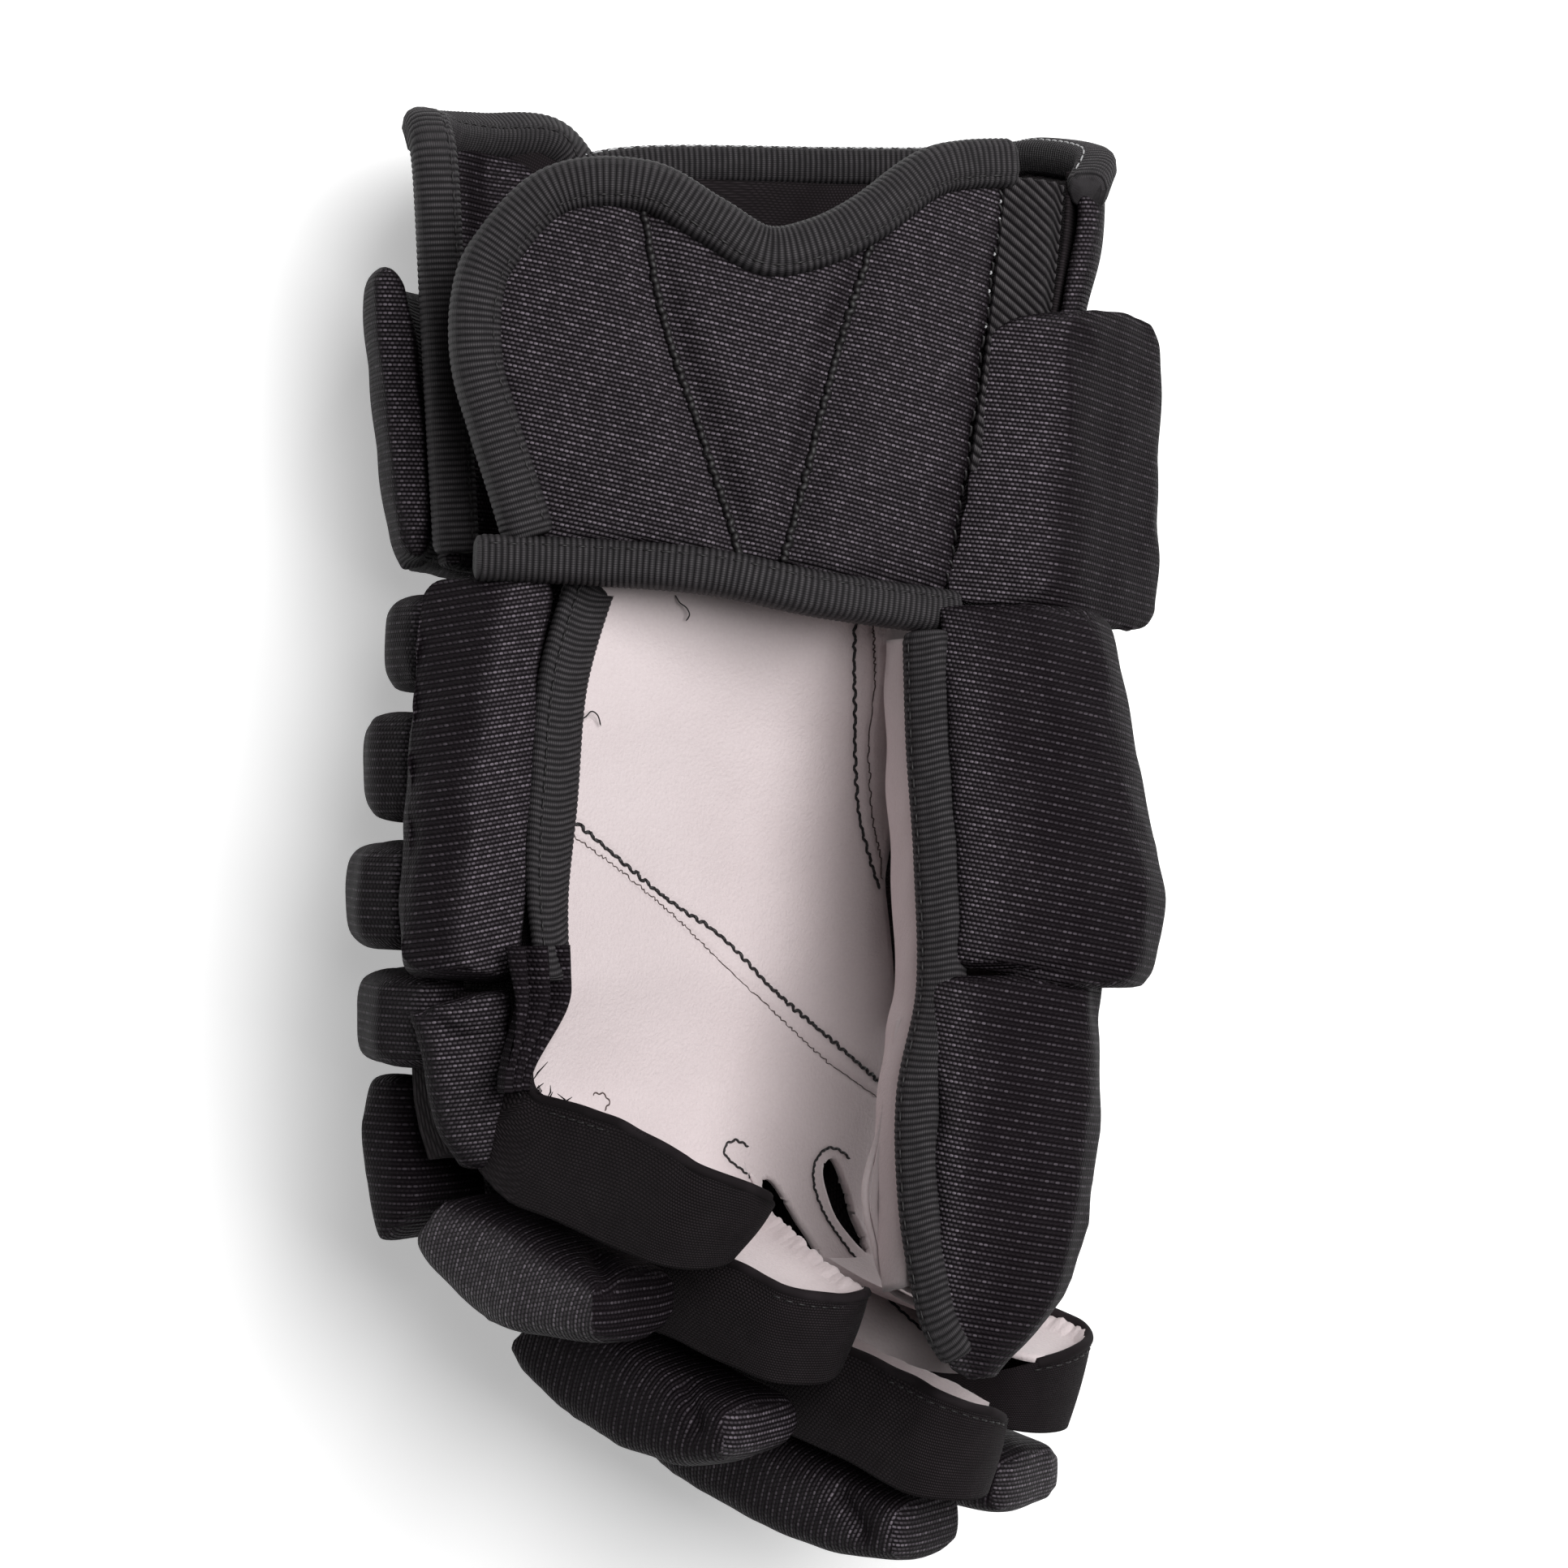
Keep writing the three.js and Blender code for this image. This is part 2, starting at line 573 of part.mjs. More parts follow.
bind('palm_binding_pinky', PALM.slice(0, 5).map((row) => inHand(row.y, row.uLeft - 1.5, row.wLeft + 1.5)),
  { count: 6, size: { thick: 5, width: 9.5 }, facing: new THREE.Vector3(0.3, 0, 1) });
bind('thumb_binding', [30, 8, -15, -40, -60, -80, -98].map((y) => onThumb(y, THUMB_TAPE_AT, 0)),
  { count: 8, size: { thick: 9, width: 10 }, facing: new THREE.Vector3(-0.6, 0, 0.8) });

// Finishes.
const FINISH = {
  knit: { color: 0x242228, roughness: 0.82, metalness: 0 },
  cloth: { color: 0x211d20, roughness: 0.95, metalness: 0 },
  tape: { color: 0x26262a, roughness: 0.85, metalness: 0 },
  leather: { color: 0xc9bfc4, roughness: 0.9, metalness: 0 },
};

// Where two pieces meet, the later one is cut back from the earlier one, grown by the clearance.
const boxesMeet = (a, b) => [0, 1, 2].every((k) => a.min[k] <= b.max[k] && b.min[k] <= a.max[k]);
const done = [];
for (const piece of pieces) {
  let solid = piece.make();
  for (const other of done) {
    if (!boxesMeet(solid.boundingBox(), other.grown.boundingBox())) continue;
    if (solid.intersect(other.grown).volume() < 1e-6) continue;
    solid = solid.subtract(other.grown);
  }
  const bodies = solid.decompose().sort((a, b) => b.volume() - a.volume());
  done.push({ ...piece, solid: bodies[0], grown: piece.make(GAP) });
}

function geometryOf(solid) {
  const mesh = solid.getMesh();
  const geometry = new THREE.BufferGeometry();
  geometry.setAttribute('position', new THREE.BufferAttribute(new Float32Array(mesh.vertProperties), 3));
  geometry.setIndex(new THREE.BufferAttribute(new Uint32Array(mesh.triVerts), 1));
  return mergeVertices(geometry);
}

const glove = new THREE.Group();
for (const { name, finish, solid } of done) {
  const mesh = new THREE.Mesh(geometryOf(solid), new THREE.MeshStandardMaterial(FINISH[finish]));
  mesh.name = name;
  glove.add(mesh);
}
const bounds = new THREE.Box3().setFromObject(glove);
const middle = bounds.getCenter(new THREE.Vector3());
glove.position.set(-middle.x, -middle.y, -bounds.min.z);
export default glove;
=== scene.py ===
import bpy
import numpy as np
from mathutils import Matrix, Vector
from mathutils.bvhtree import BVHTree


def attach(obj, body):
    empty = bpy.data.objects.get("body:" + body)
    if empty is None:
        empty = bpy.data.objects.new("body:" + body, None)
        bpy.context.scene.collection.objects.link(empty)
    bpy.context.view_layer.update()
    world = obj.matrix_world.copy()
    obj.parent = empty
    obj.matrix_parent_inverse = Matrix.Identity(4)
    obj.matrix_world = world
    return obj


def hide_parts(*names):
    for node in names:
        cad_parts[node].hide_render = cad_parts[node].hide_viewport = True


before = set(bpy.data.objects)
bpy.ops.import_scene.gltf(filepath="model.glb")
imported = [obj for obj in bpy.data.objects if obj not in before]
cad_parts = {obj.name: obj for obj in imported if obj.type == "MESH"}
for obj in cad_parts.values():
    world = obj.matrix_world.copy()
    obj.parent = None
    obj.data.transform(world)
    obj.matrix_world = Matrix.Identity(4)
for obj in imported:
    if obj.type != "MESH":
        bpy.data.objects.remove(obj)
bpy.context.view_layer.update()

# The view. The glove lies palm up on a pale table, and the camera looks down on the palm from 0.8 m
# away, leaning 14 degrees to the little finger's side.
# The pattern is in millimetres, and PATTERN_SHIFT moves it to the middle of the glove.
MM = 0.001
PATTERN_SHIFT = np.array([4.56, 9.80, 1.84])
CAMERA_LEAN = np.radians(14)
CAMERA_DISTANCE = 0.8
WIDTH_SEEN = 0.322
SENSOR = 36.0


def in_metres(points):
    return (np.asarray(points, float) + PATTERN_SHIFT) * MM


def put_in(name, data):
    """A new object in the scene."""
    thing = bpy.data.objects.new(name, data)
    bpy.context.scene.collection.objects.link(thing)
    return thing


aim = Vector(in_metres([0, 0, 60]))
back = Vector((-np.sin(CAMERA_LEAN), 0, np.cos(CAMERA_LEAN)))
right = Vector((np.cos(CAMERA_LEAN), 0, np.sin(CAMERA_LEAN)))
camera = put_in("camera", bpy.data.cameras.new("camera"))
camera.matrix_world = Matrix.Translation(aim + CAMERA_DISTANCE * back) @ Matrix(
    (right, Vector((0, 1, 0)), back)).transposed().to_4x4()
camera.data.sensor_width = SENSOR
camera.data.lens = SENSOR * CAMERA_DISTANCE / WIDTH_SEEN
bpy.context.scene.camera = camera

# The studio. One soft lamp over the palm, a little to the thumb's side and the cuff, a dim white room,
# and a white table that is lit a little from inside.
# Colours are shown as they are, so that the black of the knit stays black beside the white table.
ROOM_LIGHT = 0.08
LAMP_POWER = 17.0
LAMP_WIDTH = 0.8
LAMP_PLACE = (0.20, 0.30, 1.12)
TABLE_WHITE = (0.93, 0.93, 0.93)
TABLE_GLOW = 0.42
TABLE_HALF = 3


def new_finish(name, colour, roughness, gloss=0.5):
    finish = bpy.data.materials.new(name)
    finish.use_nodes = True
    shader = finish.node_tree.nodes["Principled BSDF"]
    shader.inputs["Base Color"].default_value = (*colour, 1)
    shader.inputs["Roughness"].default_value = roughness
    shader.inputs["Specular IOR Level"].default_value = gloss
    return finish, finish.node_tree, shader


bpy.context.scene.view_settings.view_transform = "Standard"
world = bpy.data.worlds.new("white_room")
world.use_nodes = True
world.node_tree.nodes["Background"].inputs["Color"].default_value = (1, 1, 1, 1)
world.node_tree.nodes["Background"].inputs["Strength"].default_value = ROOM_LIGHT
bpy.context.scene.world = world
lamp = put_in("lamp_over_palm", bpy.data.lights.new("lamp_over_palm", "AREA"))
lamp.data.size = LAMP_WIDTH
lamp.data.energy = LAMP_POWER
lamp.location = LAMP_PLACE
lamp.rotation_euler = (aim - lamp.location).to_track_quat("-Z", "Y").to_euler()

table_mesh = bpy.data.meshes.new("table_top")
table_corners = [(x * TABLE_HALF, y * TABLE_HALF, 0) for x, y in ((-1, -1), (1, -1), (1, 1), (-1, 1))]
table_mesh.from_pydata(table_corners, [], [(0, 1, 2, 3)])
table_white, _, shader = new_finish("table_white", TABLE_WHITE, 0.9)
shader.inputs["Emission Color"].default_value = (*TABLE_WHITE, 1)
shader.inputs["Emission Strength"].default_value = TABLE_GLOW
table_mesh.materials.append(table_white)
put_in("table_top", table_mesh)

# The back-of-hand shell: one layer of dark lining cloth, bent into a trough round the hand. The rolls
# of the back are sewn to it, and the palm closes it.
# HAND gives the middle of the hand at each height along the arm, and how far it is turned.
HAND = [
    # height along the arm, middle across, middle depth, turn in degrees
    [60, -13, 55, 0], [36, -15, 54, 5], [10, -19, 53, 17], [-20, -22, 54, 23], [-50, -21, 57, 31],
    [-75, -20, 59, 37], [-100, -19.4, 59.7, 38], [-160, -19.4, 59.7, 38]]
SHELL = [
    # height, half the width, depth
    [33, 52, 30], [10, 48, 25], [-20, 47, 22], [-52, 54, 20]]
SHELL_TOP, SHELL_LOW = 33.0, -52.0
SHELL_FROM, SHELL_TO = 158, 382
SHELL_SQUARE = 3
SHELL_FLAT = (0.168, 0.086)
SHELL_THICK = 2.0
LINING = (0.0095, 0.0072, 0.0082)
LINING_HIGHLIGHT = (0.042, 0.034, 0.038)
LINING_THREAD = 0.62 * MM


def lerp(a, b, s):
    return a + (b - a) * s


def at_height(rows, y, soften=3.0):
    """Reads a table at a height, with the corners between its rows rounded."""
    rows = np.asarray(rows, float)
    rows = rows[np.argsort(rows[:, 0])]
    steps = np.linspace(-1.6, 1.6, 7)
    weights = np.exp(-steps ** 2) / np.exp(-steps ** 2).sum()
    return [sum(w * np.interp(y + soften * d, rows[:, 0], rows[:, k]) for d, w in zip(steps, weights))
            for k in range(1, rows.shape[1])]


def matched(*values):
    return np.broadcast_arrays(*(np.asarray(value, float) for value in values))


def turned(y, u, w, cx, cz, turn):
    c, s = np.cos(np.radians(turn)), np.sin(np.radians(turn))
    return np.stack([cx + u * c + w * s, y, cz - u * s + w * c], -1)


def in_hand(y, u, w):
    """u runs across the hand to the thumb, w out of the palm."""
    y, u, w = matched(y, u, w)
    return turned(y, u, w, *at_height(HAND, y))


def squared(angle, power):
    """Cosine and sine of a circle that is drawn towards a square."""
    c, s = np.cos(angle), np.sin(angle)
    return np.sign(c) * np.abs(c) ** (2 / power), np.sign(s) * np.abs(s) ** (2 / power)


def soft_ripple(place, length, height, turn=0.0):
    """Slow unevenness of hand-sewn cloth, the same on every run."""
    x, y, z = np.moveaxis(np.asarray(place) / length, -1, 0)
    return height / 3 * (np.sin(x * 2.1 + 1.7 * np.sin(y * 1.3 + turn))
                         + np.sin(y * 2.7 + 1.3 * np.sin(z * 1.9 - turn))
                         + np.sin(z * 2.3 + 1.9 * np.sin(x * 1.1 + 2 * turn)))


def unit(vectors):
    vectors = np.asarray(vectors, float)
    return vectors / np.maximum(np.linalg.norm(vectors, axis=-1, keepdims=True), 1e-9)


def grid(across, along):
    """Evenly spaced shares from 0 to 1, across a sheet and along it."""
    return np.meshgrid(np.linspace(0, 1, across), np.linspace(0, 1, along), indexing="ij")


def make_real(piece):
    """Turns what the modifiers show into the piece's own mesh."""
    shown = piece.evaluated_get(bpy.context.evaluated_depsgraph_get())
    mesh = bpy.data.meshes.new_from_object(shown)
    piece.modifiers.clear()
    piece.data = mesh
    mesh.name = piece.name


def cut_sheet(name, points, size, thick, finish, kept=None, solid=None):
    """A cut sheet laid on a grid of points in millimetres, in the place of a solid if one is named.
    size is its flat size in metres."""
    across, along = points.shape[:2]
    number = np.arange(across * along).reshape(across, along)
    quads = np.stack([number[:-1, :-1], number[1:, :-1], number[1:, 1:], number[:-1, 1:]], -1)
    quads = quads[np.ones(quads.shape[:2], bool) if kept is None else kept].reshape(-1, 4)
    mesh = bpy.data.meshes.new(name)
    mesh.from_pydata(in_metres(points).reshape(-1, 3).tolist(), [], quads.tolist())
    flat = (np.stack(grid(across, along), -1) * size).reshape(-1, 2)
    mesh.uv_layers.new(name="cloth").data.foreach_set("uv", flat[quads.ravel()].ravel())
    mesh.materials.append(finish)
    sheet = put_in(name, mesh)
    body = sheet.modifiers.new("thickness", "SOLIDIFY")
    body.thickness = thick * MM
    body.offset = 0
    make_real(sheet)
    sheet.data.shade_smooth()
    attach(sheet, "root")
    if solid:
        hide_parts(solid)
    return sheet


def work_out(operation, *values):
    """One step of arithmetic in a finish. At least one of the values is a socket of its tree."""
    tree = next(value for value in values if not isinstance(value, (int, float))).id_data
    node = tree.nodes.new("ShaderNodeMath")
    node.operation = operation
    for socket, value in zip(node.inputs, values):
        if isinstance(value, (int, float)):
            socket.default_value = value
        else:
            tree.links.new(value, socket)
    return node.outputs[0]


def times(a, b):
    return work_out("MULTIPLY", a, b)


def plus(a, b):
    return work_out("ADD", a, b)


def cloud(tree, scale, detail=2.0):
    """Soft random patches, fixed to the piece."""
    place = tree.nodes.new("ShaderNodeTexCoord")
    noise = tree.nodes.new("ShaderNodeTexNoise")
    noise.inputs["Scale"].default_value = scale
    noise.inputs["Detail"].default_value = detail
    tree.links.new(place.outputs["Object"], noise.inputs["Vector"])
    return noise.outputs["Fac"]


def across_and_along(tree):
    layer = tree.nodes.new("ShaderNodeUVMap")
    layer.uv_map = "cloth"
    split = tree.nodes.new("ShaderNodeSeparateXYZ")
    tree.links.new(layer.outputs["UV"], split.inputs["Vector"])
    return split.outputs["X"], split.outputs["Y"]


def blend_colours(shader, share, first, second):
    """Colours a finish from the first colour to the second. A mix node keeps its two colours in its
    inputs 6 and 7, and gives the blend in its output 2."""
    tree = shader.id_data
    mix = tree.nodes.new("ShaderNodeMix")
    mix.data_type = "RGBA"
    mix.inputs[6].default_value = (*first, 1)
    mix.inputs[7].default_value = (*second, 1)
    tree.links.new(share, mix.inputs[0])
    tree.links.new(mix.outputs[2], shader.inputs["Base Color"])


def raise_surface(shader, height, depth):
    tree = shader.id_data
    bump = tree.nodes.new("ShaderNodeBump")
    bump.inputs["Distance"].default_value = depth
    tree.links.new(height, bump.inputs["Height"])
    tree.links.new(bump.outputs["Normal"], shader.inputs["Normal"])


def bow(position):
    """1 in the middle of each loop or rib, 0 at its ends."""
    centred = work_out("SUBTRACT", times(work_out("FRACT", position), 2.0), 1.0)
    return work_out("SUBTRACT", 1.0, times(centred, centred))


def twill_finish(name):
    """Twill: threads that step sideways by a third of a thread from row to row, so fine ribs run
    slantwise."""
    finish, tree, shader = new_finish(name, LINING, 0.85, gloss=0.12)
    across, along = across_and_along(tree)
    drift = times(cloud(tree, 60.0), 1.2 * MM)
    row = work_out("DIVIDE", plus(along, drift), LINING_THREAD)
    column = work_out("DIVIDE", across, LINING_THREAD * 1.3)
    step = plus(column, times(work_out("FLOOR", row), 0.36))
    height = times(bow(row), bow(step))
    patch = times(cloud(tree, 230.0, 3.0), plus(0.35, cloud(tree, 25.0)))
    blend_colours(shader, times(work_out("POWER", height, 1.5), patch), LINING, LINING_HIGHLIGHT)
    raise_surface(shader, height, 0.2 * MM)
    return finish


lining = twill_finish("dark_lining")
s, v = grid(130, 60)
y = lerp(SHELL_TOP, SHELL_LOW, v)
half, deep = at_height(SHELL, y)
c, d = squared(np.radians(lerp(SHELL_FROM, SHELL_TO, s)), SHELL_SQUARE)
points = in_hand(y, half * c, 4 + deep * d)
points[..., 2] += soft_ripple(points, 9, 0.5)
cut_sheet("hand_shell_cloth", points, SHELL_FLAT, SHELL_THICK, lining, solid="hand_shell")

# The four rolls across the back of the hand: strips of foam in charcoal nylon knit, sewn to the shell
# along their edges. The knit has rows of small shiny loops on a dark ground, each second row bolder.
ROLLS_OUT = (0.5, 0, 1.5, 2.2)
KNIT_ROW = 0.86 * MM
KNIT_LOOP = 0.96 * MM
KNIT_GROUND = (0.0090, 0.0066, 0.0084)
KNIT_SHINE = (0.152, 0.130, 0.152)
FOAM_GRAIN = 2.6 * MM
SWELL_FRAMES = 20


def read_all(items, what, width=1, kind=float):
    """One number or one vector of each item of a mesh."""
    values = np.empty(len(items) * width, kind)
    items.foreach_get(what, values)
    return values.reshape(-1, width) if width > 1 else values


def corners(mesh):
    return read_all(mesh.vertices, "co", 3)


def outward(mesh):
    return read_all(mesh.vertex_normals, "vector", 3)


def move_corners(mesh, place):
    mesh.vertices.foreach_set("co", np.asarray(place, float).ravel())
    mesh.update()


def through(rows, t):
    """A smooth curve through evenly spaced rows, read at t from 0 to 1."""
    rows = np.asarray(rows, float)
    at = np.clip(np.asarray(t, float), 0, 1) * (len(rows) - 1)
    k = np.minimum(at.astype(int), len(rows) - 2)
    s = (at - k)[..., None]
    a, b, c, d = (rows[np.clip(k + step, 0, len(rows) - 1)] for step in (-1, 0, 1, 2))
    return b + 0.5 * s * (c - a + s * (2 * a - 5 * b + 4 * c - d + s * (3 * (b - c) + d - a)))


def route_of(points, step):
    """A smooth route through points in millimetres, as evenly spaced stations in metres."""
    fine = in_metres(through(points, np.linspace(0, 1, 24 * len(points))))
    length = np.concatenate([[0], np.cumsum(np.linalg.norm(np.diff(fine, axis=0), axis=1))])
    stations = np.linspace(0, length[-1], max(2, int(round(length[-1] / (step * MM))) + 1))
    return np.stack([np.interp(stations, length, fine[:, k]) for k in range(3)], 1)


def distance_to(route, place):
    best = np.full(len(place), np.inf)
    for start in range(0, len(route), 40):
        gap = np.linalg.norm(place[:, None] - route[None, start:start + 40], axis=2).min(1)
        best = np.minimum(best, gap)
    return best


def draw_in(piece, points, depth, width):
    """Pulls the surface in along a seam, as tight stitches do. Depth and width in millimetres."""
    place = corners(piece.data)
    gap = distance_to(route_of(points, 1.0), place)
    pull = depth * MM * np.exp(-(gap / (width * MM)) ** 2)
    move_corners(piece.data, place - outward(piece.data) * pull[:, None])


def lay_knit(piece, rows_along, facing, painted_lit_side):
    """Lays the knit on each side of a pad, with its rows at right angles to rows_along. It keeps for each
    corner how far it faces the given lit side: there the knit is painted with bright glints, and on
    faces turned away only every second row keeps a dim glint, as painted shade."""
    mesh = piece.data
    rows = unit(rows_along)
    front = unit(np.asarray(facing, float) - np.dot(facing, rows) * rows)
    side = np.cross(rows, front)
    lean = np.abs(read_all(mesh.polygons, "normal", 3) @ np.stack([front, side, rows], 1))
    mostly = np.repeat(lean.argmax(1), read_all(mesh.polygons, "loop_total", kind=int))
    place = corners(mesh)[read_all(mesh.loops, "vertex_index", kind=int)]
    across = np.where(mostly == 1, place @ front, place @ side)
    along = np.where(mostly == 2, place @ front, place @ rows)
    mesh.uv_layers.new(name="cloth").data.foreach_set("uv", np.stack([across, along], 1).ravel())
    # How far each corner faces the lit side. The knit's finish paints glints and gloss by it, as painted
    # light.
    painted_lit_share = np.clip((outward(mesh) @ unit(painted_lit_side) - 0.6) / 0.35, 0, 1)
    mesh.attributes.new("painted_lit_share", "FLOAT", "POINT").data.foreach_set("value", painted_lit_share)


def soft_step(a, b, value):
    """0 up to a, 1 from b, and a soft step between."""
    t = np.clip((np.asarray(value, float) - a) / (b - a), 0, 1)
    return t * t * (3 - 2 * t)


def stuff(node, rows_along=(0, 1, 0), facing=(0, 0, 1), grain=FOAM_GRAIN, puff=1.5, inset=0.7,
          uneven=0.35, pressure=4.0, seams=(), finish=None, eased=None, painted_lit_side=(-0.1, 0.1, 1)):
    """A foam pad in its knit cover, in the place of a solid: the cover is blown up like a cushion,
    held back at its seams, and then drawn in there. seams are (points, depth, width), and eased shifts
    the shape, in millimetres. The knit is painted lit on faces turned to the given lit side, and
    painted shaded on faces turned away."""
    pad = put_in(node + "_cover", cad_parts[node].data.copy())
    pad.data.materials.clear()
    foam = pad.modifiers.new("foam", "REMESH")
    foam.mode = "VOXEL"
    foam.voxel_size = grain
    rounding = pad.modifiers.new("rounding", "SMOOTH")
    rounding.factor = 0.5
    rounding.iterations = 3
    make_real(pad)
    if eased:
        move_corners(pad.data, in_metres(eased(corners(pad.data) / MM - PATTERN_SHIFT)))
    slack = corners(pad.data) - outward(pad.data) * inset * MM
    move_corners(pad.data, slack)
    sewn = np.zeros(len(slack))
    for points, depth, width in seams:
        sewn = np.maximum(sewn, np.exp(-(distance_to(route_of(points, 2.0), slack) / (3 * MM)) ** 2))
    held = pad.vertex_groups.new(name="sewn")
    for k in np.nonzero(sewn > 0.2)[0]:
        held.add([int(k)], float(sewn[k]), "REPLACE")
    cloth = pad.modifiers.new("cloth", "CLOTH")
    cloth.settings.quality = 3
    cloth.settings.mass = 0.25
    cloth.settings.tension_stiffness = 20
    cloth.settings.compression_stiffness = 20
    cloth.settings.bending_stiffness = 1
    cloth.settings.use_pressure = True
    cloth.settings.uniform_pressure_force = pressure
    cloth.settings.effector_weights.gravity = 0
    if seams:
        cloth.settings.vertex_group_mass = "sewn"
    cloth.point_cache.frame_end = SWELL_FRAMES
    for step in range(1, SWELL_FRAMES + 1):
        bpy.context.scene.frame_set(step)
    make_real(pad)
    bpy.context.scene.frame_set(1)
    swell = corners(pad.data) - slack
    reach = np.linalg.norm(swell, axis=1, keepdims=True)
    most = puff * MM
    move_corners(pad.data, slack + swell * (most * np.tanh(reach / most) / np.maximum(reach, 1e-9)))
    finer = pad.modifiers.new("finer", "SUBSURF")
    finer.levels = 1
    finer.render_levels = 1
    make_real(pad)
    place = corners(pad.data)
    bump = soft_ripple(place, 7 * MM, uneven * MM, turn=len(node))
    move_corners(pad.data, place + outward(pad.data) * bump[:, None])
    for points, depth, width in seams:
        draw_in(pad, points, depth, width)
    pad.data.shade_smooth()
    lay_knit(pad, rows_along, facing, painted_lit_side)
    pad.data.materials.append(finish or knit)
    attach(pad, "root")
    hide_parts(node)
    return pad


def knit_finish(name):
    finish, tree, shader = new_finish(name, KNIT_GROUND, 0.6)
    across, along = across_and_along(tree)
    row = work_out("DIVIDE", plus(along, times(cloud(tree, 22.0), 0.7 * MM)), KNIT_ROW)
    row_number = work_out("FLOOR", row)
    loop = plus(work_out("DIVIDE", across, KNIT_LOOP), times(row_number, 0.5))
    bold = work_out("MODULO", work_out("ABSOLUTE", row_number), 2.0)
    height = times(bow(row), plus(0.5, times(bow(loop), 0.5)))
    each = tree.nodes.new("ShaderNodeCombineXYZ")
    tree.links.new(work_out("FLOOR", loop), each.inputs["X"])
    tree.links.new(row_number, each.inputs["Y"])
    luck = tree.nodes.new("ShaderNodeTexWhiteNoise")
    luck.noise_dimensions = "2D"
    tree.links.new(each.outputs["Vector"], luck.inputs["Vector"])
    bright = plus(0.45, work_out("POWER", luck.outputs["Value"], 3.0))
    attribute = tree.nodes.new("ShaderNodeAttribute")
    attribute.attribute_name = "painted_lit_share"
    painted_lit_share = attribute.outputs["Fac"]
    # Painted light: faces turned to the lit side glint on every row, and faces turned away glint only on
    # every second row, and dimly, as painted shade.
    bright = times(bright, work_out("MAXIMUM", bold, plus(0.08, times(painted_lit_share, 0.42))))
    bright = times(bright, plus(0.3, times(painted_lit_share, 0.7)))
    top = work_out("MAXIMUM", work_out("SUBTRACT", height, 0.55), 0.0)
    dot = work_out("MINIMUM", 1.0, times(top, 4.0))
    wear = plus(0.6, times(cloud(tree, 16.0), 0.8))
    glint = times(times(dot, bright), wear)
    # The loops' shine is painted into the base colour, as a painted highlight.
    blend_colours(shader, work_out("MINIMUM", 1.0, glint), KNIT_GROUND, KNIT_SHINE)
    tree.links.new(work_out("SUBTRACT", 0.62, times(glint, 0.2)), shader.inputs["Roughness"])
    # The gloss is painted the same way, stronger on faces turned to the lit side.
    tree.links.new(plus(0.06, times(painted_lit_share, 0.14)), shader.inputs["Specular IOR Level"])
    raise_surface(shader, height, 0.4 * MM)
    return finish


knit = knit_finish("charcoal_knit")
for number, out in enumerate(ROLLS_OUT, 1):
    stuff(f"back_roll_{number}", facing=(-0.3, 0, -1),
          eased=lambda p: p - soft_step(-60, -75, p[:, :1]) * [out, 0, 0])

# The roll along the little-finger side of the palm, and the small pad under it: foam in the same knit,
# turned over at the ends and closed by hand.


def to_side_ridge(p):
    """The side roll is boxed to a ridge, with one face down to the outside and one to the palm."""
    ridge = -70.0 + 0.15 * p[:, 1]
    crown = 92.5 - 0.19 * (p[:, 1] - 40)
    away = p[:, 0] - ridge
    top = crown - np.where(away < 0, -0.95 * away, 0.55 * away)
    corner = soft_step(22, 38, p[:, 1]) * soft_step(-68, -59, p[:, 0])
    return np.stack([p[:, 0] + 3.2 * corner, p[:, 1] + 1.8 * corner, np.minimum(p[:, 2], top)], 1)


stuff("pinky_side_roll", rows_along=(-0.16, 1, 0), eased=to_side_ridge, painted_lit_side=(0.35, 0.1, 1))
stuff("pinky_base_pad", rows_along=(-0.1, 1, 0), grain=2.0 * MM,
      eased=lambda p: p + soft_step(-48, -63, p[:, 1:2]) * [-2.2, -6.5, -1],
      seams=[([[-80, -44, 95], [-72, -49, 99], [-62, -46, 97]], 1.4, 2.0)])

# The palm: one cut of pale synthetic suede, cupped across, with slots at the roots of the fingers and
# seams in black thread. A second layer is sewn over the heel of the hand.
PALM = [
    # height, left and right edge across the hand, height out of the hand left, in the middle, right
    [37, -30, 42, 25, 22, 22], [20, -37, 42, 24, 19, 17], [0, -41, 45, 23, 16, 14],
    [-20, -44, 48, 23, 14, 13], [-38, -47, 53, 21, 13, 12], [-60, -55, 56, 10, 10, 10],
    [-92, -56, 52, 8, 8, 8], [-118, -56, 60, 8, 10, 26], [-128, -56, 60, 8, 10, 30]]
PALM_END = [[0, -58], [0.12, -66], [0.25, -78], [0.45, -95], [0.6, -112], [0.78, -120], [0.88, -128],
            [1, -128]]
PALM_TOP = 39.0
PALM_FLAT = (0.100, 0.143)
LEATHER_THICK = 1.7
SNAP = 0.45
SUEDE = (0.66, 0.585, 0.59)
SUEDE_DARKER = (0.52, 0.445, 0.45)
INDEX_SLOT = [[32.5, -79.8], [35.3, -78.4], [38.6, -81.4], [42.6, -88.0], [44.6, -94.5], [43.2, -99.2],
              [41.2, -97.8], [39.0, -94.5], [35.8, -89.0], [32.8, -83.0]]
RING_SLOT = [[12.2, -82.0], [14.0, -81.2], [17.6, -83.0], [23.6, -89.6], [27.2, -94.4], [28.4, -98.8],
             [24.5, -98.8], [21.2, -95.2], [17.2, -90.2], [14.0, -86.4], [12.6, -84.2]]


